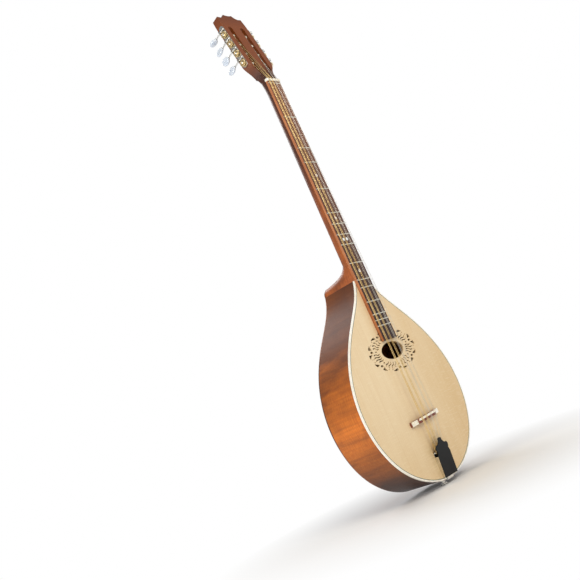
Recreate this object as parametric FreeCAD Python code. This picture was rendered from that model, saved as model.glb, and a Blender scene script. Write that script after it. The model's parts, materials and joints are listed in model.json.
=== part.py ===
import FreeCAD, Part
import math
import os

from FreeCAD import Vector

# A flat-backed bouzouki with four double courses, in millimetres.
#
# Everything is drawn as it lies on a luthier's bench: X across the instrument, to the right as seen
# from the front, Y along the neck towards the headstock with 0 at the theoretical end of the scale,
# and Z out of the soundboard with 0 on its face. save() then stands the instrument up, neck along +Z
# and soundboard facing -Y, with the origin on the strap button's waist.

# ---- driving dimensions: strings and fretboard ----
scale_length = 650.0
nut_width = 33.0              # fretboard width at the zero fret
fretboard_end_width = 37.2    # fretboard width at the sound hole
fretboard_thickness = 4.5
fretboard_end_y = 146.0
fretboard_past_zero = 4.0     # fretboard left behind the zero fret, up to the nut
fret_width = 2.2
fret_height = 1.0
fret_tang_width = 0.6
fret_tang_depth = 2.0
fret_semitones = [0, 2, 4, 5, 7, 9, 10, 11, 12, 14, 16, 17, 19, 21, 22, 23]
dot_radius = 3.0
dot_depth = 1.5
double_dot_offset = 9.0
nut_thickness = 5.0
nut_height = 6.8              # above the neck's top
nut_overhang = 0.6            # past the fretboard's side, each side
course_count = 4
nut_course_spacing = 8.0
nut_pair_spacing = 2.4
saddle_course_spacing = 13.0
saddle_pair_spacing = 3.0
string_radii = [0.50, 0.42, 0.30, 0.22]
string_rest_gap = 0.02        # strings are drawn this far off what they press on
string_over_saddle = 0.04     # more room, since the string falls a little over the saddle's width
string_to_hook_gap = 0.05

# ---- driving dimensions: body ----
body_depth = 75.0
tail_y = -100.0
widest_half = 142.5
widest_y = 40.0
lower_bout_half = 113.0       # half widths between tail and widest place, and from there to the neck
lower_bout_y = -45.0
tail_round_half = 62.0
tail_round_y = -85.5
upper_bout_half = 125.0
upper_bout_y = 117.0
shoulder_half = 87.5
shoulder_y = 172.0
hollow_half = 51.5
hollow_y = 210.5
waist_half = 29.0
waist_y = 238.0
neck_joint_y = 260.0
heel_half_width = 18.5
nose_height = 15.0            # how far the body's round nose goes past the neck joint
soundboard_thickness = 2.5
back_thickness = 2.8
back_edge_radius = 1.2
side_thickness = 2.2
binding_height = 3.5
purfling_width = 1.0
purfling_depth = 1.0
lining_width = 6.0
glue_gap = 0.05               # left for glue between sides, linings and the ends of the braces
lining_height = 11.0
brace_width = 7.0
brace_height = 12.0
soundboard_brace_y = [-8.0, 78.0, 178.0]
back_brace_y = [-30.0, 70.0, 170.0]
tail_block_half = 34.0
tail_block_length = 18.0
heel_block_length = 34.0

# ---- driving dimensions: sound hole and rosette ----
hole_center_y = 127.6
hole_half_x = 30.5
hole_half_y = 15.2
rosette_half_x = 65.5
rosette_half_y = 36.0
rosette_groups = 7
stroke_width = 1.8            # the long S strokes between the dots
stroke_samples = 8
stroke_sway_deg = 2.4
stroke_start = 0.58           # where they start and end, as shares of the rosette's radius
stroke_end = 0.85
stroke_outer_end = 0.80
stroke_inner_deg = 4.8        # from the middle of their group
stroke_outer_deg = 14.2
hole_ring_width = 5.0         # reinforcement under the hole's edge
hole_ring_thickness = 2.6

# ---- driving dimensions: neck and headstock ----
neck_top_z = 1.5              # the neck's top, and the support under the fretboard's end
neck_depth_nut = 16.0
neck_depth_heel = 21.5
head_tilt_deg = 11.0
head_root_rise = 1.0          # headstock face above the neck's top, where it leaves the nut
head_thickness = 16.0
head_half_width = 32.5
turn_before_nut = 26.0        # the shaft starts to turn square here
turn_past_nut = 12.0          # and is square by here, along the headstock
head_half_at_turn = 18.2
turn_samples = 12             # places round the shaft's back where its section is drawn from
head_shoulder_s = 41.0        # along the headstock, from the nut: where the sides become parallel
head_corner_s = 140.0
head_length = 158.0
head_corner_half = 30.5
crest_rise = 8.2              # the two small peaks, above the headstock's length
crest_dip = 1.8               # the hollow between them
crest_peak_x = 10.5
crest_valley_x = 22.0
crest_valley_drop = 0.6
cheek_s = 32.0                # the hollow side of the headstock's root ends in a corner here
cheek_half_width = 28.0
cheek_hollow = 1.3
head_edge_chamfer = 0.6
slot_half_x = 15.5
slot_width = 10.0
slot_start_s = 24.0
slot_end_s = 134.0

# ---- driving dimensions: tuners ----
tuner_count = 4
tuner_spacing = 23.5
tuner_first_s = 46.0
roller_radius = 3.0
roller_depth = 6.5            # roller axis behind the headstock's face
roller_hole_radius = 0.8
roller_in_rail = 5.0          # how far the roller's tip goes into the centre rail
roller_wood_clearance = 0.4
bearing_clearance = 0.08
plate_thickness = 1.2
plate_width = 12.6
plate_end = 9.0               # from the first roller to the plate's round end
plate_past_screw = 5.0
plate_screw_past_worm = 5.7
plate_screw_radius = 1.0
plate_screw_head_radius = 1.9
gear_teeth = 14
gear_tip_radius = 6.5
gear_root_radius = 5.4
gear_thickness = 2.6
worm_radius = 2.3
worm_length = 8.0
worm_gap = 0.35               # between the worm's blank and the gear's tips, and the plate
worm_shaft_radius = 1.5
worm_ear_thickness = 1.4
shaft_front_end = 1.2         # worm shaft's end in front of the headstock's face
button_start = 26.0           # behind the headstock's face
button_length = 18.0
button_width = 14.5
button_thickness = 6.0
button_socket = 5.0
button_turns_deg = [12.0, -8.0, 18.0, 90.0]   # how each one was left, from flat against the headstock

# ---- driving dimensions: bridge ----
bridge_y = 4.0
bridge_angle_deg = 2.5
bridge_x = -1.2
bridge_length = 81.0
bridge_thickness = 7.5
bridge_wing_height = 4.2      # wood at the wings' ends
bridge_wing_root = 6.0        # and where they meet the block
bridge_block_half = 25.0
bridge_block_height = 9.8
saddle_thickness = 3.4
saddle_top_z = 12.0
saddle_wing_thickness = 1.0
bridge_arch_height = 3.2
bridge_arch_drop = 0.8        # the arches' centre below the feet
bridge_arch_spacing = 15.5

# ---- driving dimensions: tailpiece and strap button ----
cover_half_width = 18.3
cover_thickness = 1.0
cover_rail = 2.0              # rails under the cover that run inside the base's flanges
cover_tail_y = -96.5
cover_tail_z = 5.6            # top of the cover at its tail end
cover_peak_y = -33.5
cover_peak_z = 12.0           # top of the cover at the middle peak
cover_gap = 0.35
flange_inset = 0.5            # the base's flanges stand this far inside the cover's sides
base_metal = 1.2
base_front_y = -52.0
flange_front_y = -61.0
channel_tail_y = -97.0        # only the bracket's strap goes on from here, over the tail
cover_waist_half = 16.0       # the cover narrows here, behind its two horns
cover_waist_y = -54.0
cover_waist_start_y = -60.0
cover_horn_half = 18.2
cover_horn_y = -48.5
cover_horn_tip_x = 15.5
cover_horn_tip_y = -44.2
cover_tab_half = 5.0          # blunt tab in the middle of the string end
cover_tab_y = -34.6
cover_hollow_x = 7.4
cover_hollow_y = -41.6
bracket_drop = 36.0
bracket_half_width = 9.0
bracket_corner = 4.0
hook_y = -55.0
hook_course_spacing = 7.6
hook_pair_spacing = 3.4
hook_radius = 1.1
hook_top_z = 5.5
string_hook_z = 4.0
strap_button_depth = 17.0     # strap button axis behind the soundboard's face
tail_screw_spacing = 10.0      # from the strap button
strap_flange_radius = 6.0
strap_flange_thickness = 1.0
strap_waist_radius = 3.0
strap_waist_length = 3.5
strap_head_radius = 6.0
strap_head_thickness = 2.2
strap_shank_radius = 2.0
strap_shank_length = 16.0
screw_radius = 1.3
screw_head_radius = 2.6
screw_head_height = 1.2
screw_length = 12.0           # depth of the hole from the body's tail
screw_end_room = 1.0          # left empty at the bottom of each screw hole

# ---- sizes that follow ----
fretboard_top_z = neck_top_z + fretboard_thickness
fret_top_z = fretboard_top_z + fret_height
nut_front_y = scale_length + fretboard_past_zero
nut_back_y = nut_front_y + nut_thickness
back_face_z = -body_depth
back_inner_z = back_face_z + back_thickness
soundboard_back_z = -soundboard_thickness
bridge_slope = math.tan(math.radians(bridge_angle_deg))
gear_center_gap = gear_tip_radius + worm_radius + worm_gap
plate_x = head_half_width + plate_thickness
worm_x = plate_x + worm_gap + worm_radius
gear_x = worm_x - gear_thickness / 2
tail_clear = base_metal + strap_flange_thickness + strap_waist_length / 2
cover_slope = (cover_peak_z - cover_tail_z) / (cover_peak_y - cover_tail_y)
cover_angle_deg = math.degrees(math.atan(cover_slope))
through = 1.0                 # how far cutters run past the faces that they open

os.makedirs("parts", exist_ok=True)


# ---- small helpers ----

def save(name, shape):
    """Stands the piece up and writes it."""
    piece = shape.copy()
    piece.rotate(Vector(0, 0, 0), Vector(1, 0, 0), 90)
    piece.translate(Vector(0, -strap_button_depth, tail_clear - tail_y))
    piece.exportStep("parts/" + name + ".step")


def box(x0, x1, y0, y1, z0, z1):
    return Part.makeBox(x1 - x0, y1 - y0, z1 - z0, Vector(x0, y0, z0))


def rod(radius, start, end):
    direction = end.sub(start)
    return Part.makeCylinder(radius, direction.Length, start, direction)


def line(a, b):
    return Part.LineSegment(a, b).toShape()


def arc(a, middle, b):
    return Part.Arc(a, middle, b).toShape()


def closed(points):
    return Part.makePolygon(points + [points[0]])


def prism(wire, z0, z1):
    """An outline drawn at height zero, made solid between two heights."""
    face = Part.Face(wire)
    face.translate(Vector(0, 0, z0))
    return face.extrude(Vector(0, 0, z1 - z0))


def both_sides(shape):
    return [shape, shape.mirror(Vector(0, 0, 0), Vector(1, 0, 0))]


def group(shapes):
    return Part.makeCompound(shapes)


def fretboard_half(y):
    """Half the fretboard's width at a place along the neck."""
    share = (scale_length - y) / (scale_length - fretboard_end_y)
    return (nut_width + (fretboard_end_width - nut_width) * share) / 2


def fret_y(semitones):
    return scale_length * 2 ** (-semitones / 12)


# ---- body outline ----

def half_oval(corner, reach):
    """Round end between a corner and its mirror image, in the plane of the body outline."""
    center = Vector(0, corner.y, 0)
    curve = Part.Ellipse(corner, center + Vector(0, reach, 0), center)
    return Part.ArcOfEllipse(curve, 0, math.pi).toShape()


def body_outline():
    """Teardrop: one spline from the neck's left corner round the tail to its right, and a nose."""
    right_places = [
        (tail_round_half, tail_round_y),
        (lower_bout_half, lower_bout_y),
        (widest_half, widest_y),
        (upper_bout_half, upper_bout_y),
        (shoulder_half, shoulder_y),
        (hollow_half, hollow_y),
        (waist_half, waist_y),
        (heel_half_width, neck_joint_y),
    ]
    left_points = [Vector(-x, y, 0) for x, y in reversed(right_places)]
    right_points = [Vector(x, y, 0) for x, y in right_places]
    return outline_through(left_points + [Vector(0, tail_y, 0)] + right_points, nose_height)


def outline_through(points, nose_reach):
    curve = Part.BSplineCurve()
    curve.interpolate(points)
    rim = curve.toShape()
    nose = half_oval(points[-1], nose_reach)
    return rim, Part.Wire(Part.__sortEdges__([rim, nose]))


outline_rim, outline = body_outline()
rim_samples = 53              # places along the rim where an inset outline is drawn from


def inset(distance):
    """The body outline moved inwards, drawn the same way."""
    rim_curve = outline_rim.Curve
    first, last = outline_rim.ParameterRange
    points = []
    for n in range(rim_samples):
        place = first + (last - first) * n / (rim_samples - 1)
        along = rim_curve.tangent(place)[0]
        points.append(rim_curve.value(place) + Vector(-along.y, along.x, 0) * distance)
    return outline_through(points, nose_height - distance)[1]


def body_slab(distance, z0, z1):
    return prism(inset(distance) if distance else outline, z0, z1)


def body_ring(outer, inner, z0, z1):
    ring = body_slab(outer, z0, z1).cut(body_slab(inner, z0 - through, z1 + through))
    return up_to_neck(ring, z0, z1)


def up_to_neck(shape, z0, z1):
    """Only the back plate goes on past the neck joint."""
    reach = 2 * widest_half
    return shape.common(box(-reach, reach, tail_y - through, neck_joint_y, z0 - through, z1 + through))


# ---- rosette ----

def rosette_point(radius, angle_deg):
    """A place in the rosette: radius 1 is its rim, angle 0 points to the tail."""
    turn = math.radians(angle_deg - 90)
    x = rosette_half_x * radius * math.cos(turn)
    y = hole_center_y + rosette_half_y * radius * math.sin(turn)
    return Vector(x, y, soundboard_back_z - through)


def pierce(edges):
    face = Part.Face(Part.Wire(edges))
    return face.extrude(Vector(0, 0, soundboard_thickness + 2 * through))


def oval_cut(center, half_x, half_y):
    if half_x >= half_y:
        curve = Part.Ellipse(center, half_x, half_y)
    else:
        curve = Part.Ellipse(center + Vector(0, half_y, 0), center + Vector(-half_x, 0, 0), center)
    return pierce([curve.toShape()])


def rosette_dot(radius, angle_deg, size):
    return oval_cut(rosette_point(radius, angle_deg), rosette_half_x * size, rosette_half_y * size)


def rosette_spandrel(angle_deg, side):
    """The curved triangle beside an outer dot, thick near the dot and running out along the rim."""
    near_rim = rosette_point(0.985, angle_deg + side * 6.5)
    mid_rim = rosette_point(1.0, angle_deg + side * 12.5)
    tip = rosette_point(0.985, angle_deg + side * 19.0)
    inner_mid = rosette_point(0.905, angle_deg + side * 11.5)
    inner = rosette_point(0.85, angle_deg + side * 7.5)
    return pierce([arc(near_rim, mid_rim, tip), arc(tip, inner_mid, inner), line(inner, near_rim)])


def rosette_stroke(angle_deg, outer_radius):
    """A band of even width that winds outwards like a long S, with round ends."""
    middle = []
    for n in range(stroke_samples + 1):
        along = n / stroke_samples
        radius = stroke_start + (outer_radius - stroke_start) * along
        middle.append(rosette_point(radius, angle_deg + stroke_sway_deg * math.sin(2 * math.pi * along)))
    left, right = [], []
    for n, point in enumerate(middle):
        ahead = middle[min(n + 1, stroke_samples)] - middle[max(n - 1, 0)]
        ahead.normalize()
        sideways = Vector(-ahead.y, ahead.x, 0) * (stroke_width / 2)
        left.append(point + sideways)
        right.append(point - sideways)
        if n == 0:
            inner_end = point - ahead * (stroke_width / 2)
        outer_end = point + ahead * (stroke_width / 2)
    left_side = Part.BSplineCurve()
    left_side.interpolate(left)
    right_side = Part.BSplineCurve()
    right_side.interpolate(right)
    ends = [arc(left[-1], outer_end, right[-1]), arc(left[0], inner_end, right[0])]
    return pierce(Part.__sortEdges__([left_side.toShape(), right_side.toShape()] + ends))


def rosette_scrolls(angle_deg):
    """Four long S strokes side by side, and two dots beyond the middle ones."""
    pieces = []
    for side in (-1, 1):
        pieces.append(rosette_stroke(angle_deg + side * stroke_inner_deg, stroke_end))
        pieces.append(rosette_stroke(angle_deg + side * stroke_outer_deg, stroke_outer_end))
        pieces.append(rosette_dot(0.925, angle_deg + side * stroke_inner_deg, 0.022))
    return pieces


def rosette_cuts():
    pieces = []
    step = 360.0 / rosette_groups
    covered = (rosette_groups - 1) / 2
    for n in range(rosette_groups):
        angle = n * step
        pieces.append(rosette_dot(0.865, angle, 0.055))
        pieces.append(rosette_dot(0.69, angle, 0.036))
        for side in (-1, 1):
            pieces.append(rosette_spandrel(angle, side))
        # the group straight above the hole would lie under the fretboard and is left uncut
        if n != covered:
            pieces.extend(rosette_scrolls(angle + step / 2))
    return pieces


# ---- body pieces ----

def soundboard():
    plate = up_to_neck(body_slab(side_thickness, soundboard_back_z, 0), soundboard_back_z, 0)
    plate = plate.cut(purfling())
    center = Vector(0, hole_center_y, soundboard_back_z - through)
    hole = oval_cut(center, hole_half_x, hole_half_y)
    return plate.cut([hole] + rosette_cuts())


def purfling():
    return body_ring(side_thickness, side_thickness + purfling_width, -purfling_depth, 0)


def binding():
    return body_ring(0, side_thickness, -binding_height, 0)


def side(sign):
    """One bent side, from the tail seam to the heel."""
    ring = body_ring(0, side_thickness, back_inner_z, -binding_height)
    reach = 2 * widest_half
    x0, x1 = sorted((0, sign * reach))
    half = ring.common(box(x0, x1, tail_y - through, neck_joint_y, -body_depth, 0))
    return half.cut(tail_holes())


def back_plate():
    plate = body_slab(0, back_face_z, back_inner_z)
    rim = [edge for edge in plate.Edges if abs(edge.BoundBox.ZMax - back_face_z) < 0.01]
    return plate.makeFillet(back_edge_radius, rim)


def block_region(y0, y1, half):
    return box(-half, half, y0, y1, -body_depth, neck_top_z)


def tail_block():
    inside = body_slab(side_thickness, back_inner_z, soundboard_back_z)
    block = inside.common(block_region(tail_y, tail_y + tail_block_length, tail_block_half))
    return block.cut(tail_holes())


def linings():
    keep_out = [
        block_region(tail_y, tail_y + tail_block_length, tail_block_half),
        block_region(neck_joint_y - heel_block_length, neck_joint_y + 2 * nose_height, widest_half),
    ]
    outer = side_thickness + glue_gap
    inner = outer + lining_width
    top = body_ring(outer, inner, soundboard_back_z - lining_height, soundboard_back_z)
    bottom = body_ring(outer, inner, back_inner_z, back_inner_z + lining_height)
    return group([top.cut(keep_out), bottom.cut(keep_out)])


def braces_at(places, z0, z1):
    inside = body_slab(side_thickness + lining_width + 2 * glue_gap, z0, z1)
    bars = []
    for y in places:
        bars.append(inside.common(box(-widest_half, widest_half, y, y + brace_width, z0, z1)))
    return bars


def soundboard_braces():
    low = soundboard_back_z - brace_height
    bars = braces_at(soundboard_brace_y, low, soundboard_back_z)
    ring_low = soundboard_back_z - hole_ring_thickness
    center = Vector(0, hole_center_y, 0)
    outer = Part.Ellipse(center, hole_half_x + hole_ring_width, hole_half_y + hole_ring_width)
    inner = Part.Ellipse(center, hole_half_x, hole_half_y)
    disc = prism(Part.Wire([outer.toShape()]), ring_low, soundboard_back_z)
    hole = prism(Part.Wire([inner.toShape()]), ring_low - through, soundboard_back_z + through)
    bars.append(disc.cut(hole))
    return group(bars)


def back_braces():
    return group(braces_at(back_brace_y, back_inner_z, back_inner_z + brace_height))


# ---- neck, with heel and headstock ----

def shaft_depth(y):
    share = (y - neck_joint_y) / (nut_back_y - neck_joint_y)
    return neck_depth_heel + (neck_depth_nut - neck_depth_heel) * share


def heel_section(z, nose_y):
    """Straight joint with the body and a half-elliptic nose towards the nut."""
    reach = nose_y - neck_joint_y
    center = Vector(0, neck_joint_y, z)
    side_point = center + Vector(heel_half_width, 0, 0)
    front_point = center + Vector(0, reach, 0)
    if reach > heel_half_width:
        curve = Part.Ellipse(front_point, center + Vector(-heel_half_width, 0, 0), center)
        nose = Part.ArcOfEllipse(curve, -math.pi / 2, math.pi / 2).toShape()
    else:
        curve = Part.Ellipse(side_point, front_point, center)
        nose = Part.ArcOfEllipse(curve, 0, math.pi).toShape()
    joint = line(center + Vector(-heel_half_width, 0, 0), side_point)
    return Part.Wire(Part.__sortEdges__([nose, joint]))


def heel():
    """Sweeps from the back plate's nose up to the back of the neck's shaft."""
    top_nose = neck_joint_y + 70.0
    back_nose = neck_joint_y + nose_height
    drops = [0.0, 0.2, 0.4, 0.56, 0.7, 0.8, 1.0]
    reaches = [0.0, 0.035, 0.09, 0.17, 0.32, 0.55, 1.0]
    sections = []
    for drop, reach in zip(drops, reaches):
        z = back_inner_z + (neck_top_z - back_inner_z) * drop
        sections.append(heel_section(z, back_nose + (top_nose - back_nose) * reach))
    return Part.makeLoft(sections, True, False)


def heel_block():
    inside = body_slab(side_thickness, back_inner_z, soundboard_back_z)
    return inside.common(block_region(neck_joint_y - heel_block_length, neck_joint_y, widest_half))


def fretboard_support():
    half_end = fretboard_half(fretboard_end_y)
    half_joint = fretboard_half(neck_joint_y)
    plan = closed([
        Vector(-half_end, fretboard_end_y, 0),
        Vector(half_end, fretboard_end_y, 0),
        Vector(half_joint, neck_joint_y, 0),
        Vector(-half_joint, neck_joint_y, 0),
    ])
    return prism(plan, 0, neck_top_z)


def tilt(shape):
    """From headstock terms (x, along, out of the face) to the bench."""
    piece = shape.copy()
    piece.rotate(Vector(0, 0, 0), Vector(1, 0, 0), -head_tilt_deg)
    piece.translate(Vector(0, nut_back_y, neck_top_z + head_root_rise))
    return piece


def head_outline():
    """Flared sides, shoulders and a crest with two small peaks."""
    root = Vector(head_half_at_turn, turn_past_nut, 0)
    cheek = Vector(cheek_half_width, cheek_s, 0)
    hollow = (root + cheek) * 0.5 + Vector(-cheek_hollow, cheek_hollow, 0)
    peak = Vector(crest_peak_x, head_length + crest_rise, 0)
    valley = Vector(crest_valley_x, head_length - crest_valley_drop, 0)
    corner = Vector(head_corner_half, head_length, 0)
    shoulder = Vector(head_half_width, head_shoulder_s, 0)
    taper = Vector(head_half_width, head_corner_s, 0)
    edges = [
        arc(root, hollow, cheek),
        line(cheek, shoulder),
        line(shoulder, taper),
        line(taper, corner),
        line(corner, valley),
        arc(valley, Vector((crest_valley_x + crest_peak_x) / 2 - 0.6, head_length + 2.2, 0), peak),
    ]
    mirrored = [edge.mirror(Vector(0, 0, 0), Vector(1, 0, 0)) for edge in edges]
    dip = Vector(0, head_length + crest_rise - crest_dip, 0)
    crest = arc(peak, dip, Vector(-peak.x, peak.y, 0))
    base = line(Vector(head_half_at_turn, turn_past_nut, 0), Vector(-head_half_at_turn, turn_past_nut, 0))
    return Part.Wire(Part.__sortEdges__(edges + [crest] + mirrored + [base]))


def head_slot():
    """Slot right through the headstock with round ends."""
    low = -head_thickness - through
    radius = slot_width / 2
    straight = box(
        slot_half_x - radius, slot_half_x + radius, slot_start_s + radius, slot_end_s - radius, low, through
    )
    ends = []
    for s in (slot_start_s + radius, slot_end_s - radius):
        ends.append(Part.makeCylinder(radius, through - low, Vector(slot_half_x, s, low)))
    return straight.fuse(ends)


def headstock():
    slab = prism(head_outline(), -head_thickness, 0)
    edges = [e for e in slab.Edges if e.BoundBox.ZLength < 0.01 and e.BoundBox.YMax > turn_past_nut + 0.01]
    slab = slab.makeChamfer(head_edge_chamfer, edges)
    cuts = both_sides(head_slot())
    for sign in (-1, 1):
        for n in range(tuner_count):
            s = tuner_first_s + n * tuner_spacing
            inner = Vector(sign * (slot_half_x - slot_width / 2 - roller_in_rail - 1.0), s, -roller_depth)
            outer = Vector(sign * (head_half_width + through), s, -roller_depth)
            cuts.append(rod(roller_radius + roller_wood_clearance, inner, outer))
        for s in plate_screw_places():
            start = Vector(sign * (head_half_width - 8.0), s, -roller_depth)
            end = Vector(sign * (head_half_width + through), s, -roller_depth)
            cuts.append(rod(plate_screw_radius, start, end))
    return slab.cut(cuts)


def neck():
    body = neck_shaft().fuse([heel(), heel_block(), fretboard_support()])
    return body.fuse(tilt(headstock())).removeSplitter()


def squared_section(half, depth, squareness):
    """Flat top, and a back between a half oval (2) and a box (large), centred on the top's middle."""
    points = []
    for n in range(turn_samples + 1):
        turn = math.pi * n / turn_samples
        across = math.copysign(abs(math.cos(turn)) ** (2 / squareness), math.cos(turn))
        points.append(Vector(half * across, 0, -depth * math.sin(turn) ** (2 / squareness)))
    back = Part.BSplineCurve()
    back.interpolate(points)
    return Part.Wire([back.toShape(), line(points[-1], points[0])])


def shaft_section(y, squareness):
    section = squared_section(fretboard_half(y), shaft_depth(y), squareness)
    section.translate(Vector(0, y, neck_top_z))
    return section


def neck_shaft():
    """From the body to the headstock: half round, then squarer where it turns."""
    turn_y = nut_back_y - turn_before_nut
    end = squared_section(head_half_at_turn, head_thickness, 7)
    end.translate(Vector(0, turn_past_nut, 0))
    sections = [
        shaft_section(neck_joint_y, 2),
        shaft_section(turn_y, 2),
        shaft_section(turn_y + turn_before_nut / 2, 2.3),
        shaft_section(nut_back_y, 3.2),
        tilt(end),
    ]
    return Part.makeLoft(sections, True, True)


# ---- fretboard, frets, dots, nut ----

def fretboard():
    half_end = fretboard_half(fretboard_end_y)
    half_nut = fretboard_half(nut_front_y)
    plan = closed([
        Vector(-half_end, fretboard_end_y, 0),
        Vector(half_end, fretboard_end_y, 0),
        Vector(half_nut, nut_front_y, 0),
        Vector(-half_nut, nut_front_y, 0),
    ])
    board = prism(plan, neck_top_z, fretboard_top_z)
    slots = []
    for semitones in fret_semitones:
        y = fret_y(semitones)
        low = fretboard_top_z - fret_tang_depth
        slots.append(box(
            -fretboard_end_width, fretboard_end_width,
            y - fret_tang_width / 2, y + fret_tang_width / 2, low, fretboard_top_z + through,
        ))
    return board.cut(slots + position_dots().Solids)


def fret(semitones):
    """Rounded crown on a flat tang."""
    y = fret_y(semitones)
    half = fretboard_half(y)
    start = Vector(-half, y - fret_width / 2, fretboard_top_z)
    top = Vector(-half, y, fret_top_z)
    end = Vector(-half, y + fret_width / 2, fretboard_top_z)
    crown = Part.Face(Part.Wire([arc(start, top, end), line(end, start)])).extrude(Vector(2 * half, 0, 0))
    tang = box(
        -half, half, y - fret_tang_width / 2, y + fret_tang_width / 2,
        fretboard_top_z - fret_tang_depth, fretboard_top_z,
    )
    return crown.fuse(tang)


def frets():
    return group([fret(semitones) for semitones in fret_semitones])


def position_dots():
    """Single dots below the fifth, sixth and sixteenth-semitone frets, a pair at the octave."""
    places = []
    for low, high, offsets in (
        (7, 5, [0]),
        (10, 9, [0]),
        (12, 11, [-double_dot_offset / 2, double_dot_offset / 2]),
        (16, 14, [0]),
    ):
        middle = (fret_y(low) + fret_y(high)) / 2
        places.extend([(x, middle) for x in offsets])
    dots = []
    for x, y in places:
        dots.append(Part.makeCylinder(dot_radius, dot_depth, Vector(x, y, fretboard_top_z - dot_depth)))
    return group(dots)


def string_x(course, member, course_spacing, pair_spacing):
    center = (course - (course_count - 1) / 2) * course_spacing
    return center + (member - 0.5) * pair_spacing


def nut():
    half = fretboard_half(nut_back_y) + nut_overhang
    block = box(-half, half, nut_front_y, nut_back_y, neck_top_z, neck_top_z + nut_height)
    top = [e for e in block.Edges if abs(e.BoundBox.ZMin - neck_top_z - nut_height) < 0.01]
    block = block.makeFillet(1.0, top)
    slots = []
    for course in range(course_count):
        radius = string_radii[course]
        for member in (0, 1):
            x = nut_string_x(course, member)
            low = fret_top_z - 0.9
            slots.append(box(
                x - radius - 0.35, x + radius + 0.35,
                nut_front_y - through, nut_back_y + through, low, low + nut_height,
            ))
    return block.cut(slots)


def nut_string_x(course, member):
    return string_x(course, member, nut_course_spacing, nut_pair_spacing)


# ---- bridge ----

def place_bridge(shape):
    piece = shape.copy()
    piece.rotate(Vector(0, 0, 0), Vector(0, 0, 1), bridge_angle_deg)
    piece.translate(Vector(bridge_x, bridge_y, 0))
    return piece


def bridge_base():
    """Low wings, a raised block under the strings and arched feet."""
    half = bridge_length / 2
    profile = [
        Vector(-half, -bridge_thickness / 2, 0),
        Vector(half, -bridge_thickness / 2, 0),
        Vector(half, -bridge_thickness / 2, bridge_wing_height),
        Vector(bridge_block_half, -bridge_thickness / 2, bridge_wing_root),
        Vector(bridge_block_half, -bridge_thickness / 2, bridge_block_height),
        Vector(-bridge_block_half, -bridge_thickness / 2, bridge_block_height),
        Vector(-bridge_block_half, -bridge_thickness / 2, bridge_wing_root),
        Vector(-half, -bridge_thickness / 2, bridge_wing_height),
    ]
    base = Part.Face(closed(profile)).extrude(Vector(0, bridge_thickness, 0))
    arches = []
    for center in (-bridge_arch_spacing, 0, bridge_arch_spacing):
        start = Vector(center, -bridge_thickness, 0)
        low = start - Vector(0, 0, bridge_arch_drop)
        radius = bridge_arch_height + bridge_arch_drop
        arches.append(Part.makeCylinder(radius, 2 * bridge_thickness, low, Vector(0, 1, 0)))
    return place_bridge(base.cut(arches))


def bridge_saddle():
    """A thin ridge under the strings on the neck's side of the block, and a strip on each wing."""
    ridge = box(
        -bridge_block_half, bridge_block_half,
        bridge_thickness / 2 - saddle_thickness, bridge_thickness / 2, bridge_block_height, saddle_top_z,
    )
    half = bridge_length / 2
    cap_profile = [
        Vector(bridge_block_half, -bridge_thickness / 2, bridge_wing_root),
        Vector(half, -bridge_thickness / 2, bridge_wing_height),
        Vector(half, -bridge_thickness / 2, bridge_wing_height + saddle_wing_thickness),
        Vector(bridge_block_half, -bridge_thickness / 2, bridge_wing_root + saddle_wing_thickness),
    ]
    cap = Part.Face(closed(cap_profile)).extrude(Vector(0, bridge_thickness, 0))
    return place_bridge(group([ridge] + both_sides(cap)))


# ---- tailpiece ----

def tail_screw_places():
    """One screw above the strap button and one below it, as (x, z)."""
    return [(0, -strap_button_depth + tail_screw_spacing), (0, -strap_button_depth - tail_screw_spacing)]


def tail_holes():
    """Screw and strap button holes through bracket, sides and tail block."""
    start_y = tail_y - base_metal - through
    holes = []
    for x, z in tail_screw_places():
        holes.append(rod(screw_radius, Vector(x, start_y, z), Vector(x, tail_y + screw_length, z)))
    z = -strap_button_depth
    holes.append(rod(strap_shank_radius, Vector(0, start_y, z), Vector(0, tail_y + strap_shank_length, z)))
    return holes


def cover_top_z(y):
    return cover_tail_z + cover_slope * (y - cover_tail_y)


def tailpiece_base():
    """A channel on the soundboard with upright flanges and hooks, bent down over the tail."""
    half = cover_half_width - flange_inset
    floor = box(-half, half, channel_tail_y, base_front_y, 0, base_metal)
    strap = box(-bracket_half_width, bracket_half_width, tail_y - base_metal, channel_tail_y, 0, base_metal)
    bracket = box(
        -bracket_half_width, bracket_half_width, tail_y - base_metal, tail_y, -bracket_drop, base_metal
    )
    corners = [e for e in bracket.Edges
               if e.BoundBox.YLength > base_metal - 0.01 and e.BoundBox.ZMax < -bracket_drop + 0.01]
    bracket = bracket.makeFillet(bracket_corner, corners)
    flange_profile = [
        Vector(half - base_metal, channel_tail_y, 0),
        Vector(half - base_metal, flange_front_y, 0),
        Vector(half - base_metal, flange_front_y, cover_top_z(flange_front_y) - cover_thickness - cover_gap),
        Vector(half - base_metal, channel_tail_y, cover_top_z(channel_tail_y) - cover_thickness - cover_gap),
    ]
    flange = Part.Face(closed(flange_profile)).extrude(Vector(base_metal, 0, 0))
    pieces = [bracket, strap] + both_sides(flange)
    for course in range(course_count):
        for member in (0, 1):
            x = hook_x(course, member)
            pieces.append(Part.makeCylinder(hook_radius, hook_top_z, Vector(x, hook_y, 0)))
    return floor.fuse(pieces).cut(tail_holes()).removeSplitter()


def hook_x(course, member):
    return string_x(course, member, hook_course_spacing, hook_pair_spacing)


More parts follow.
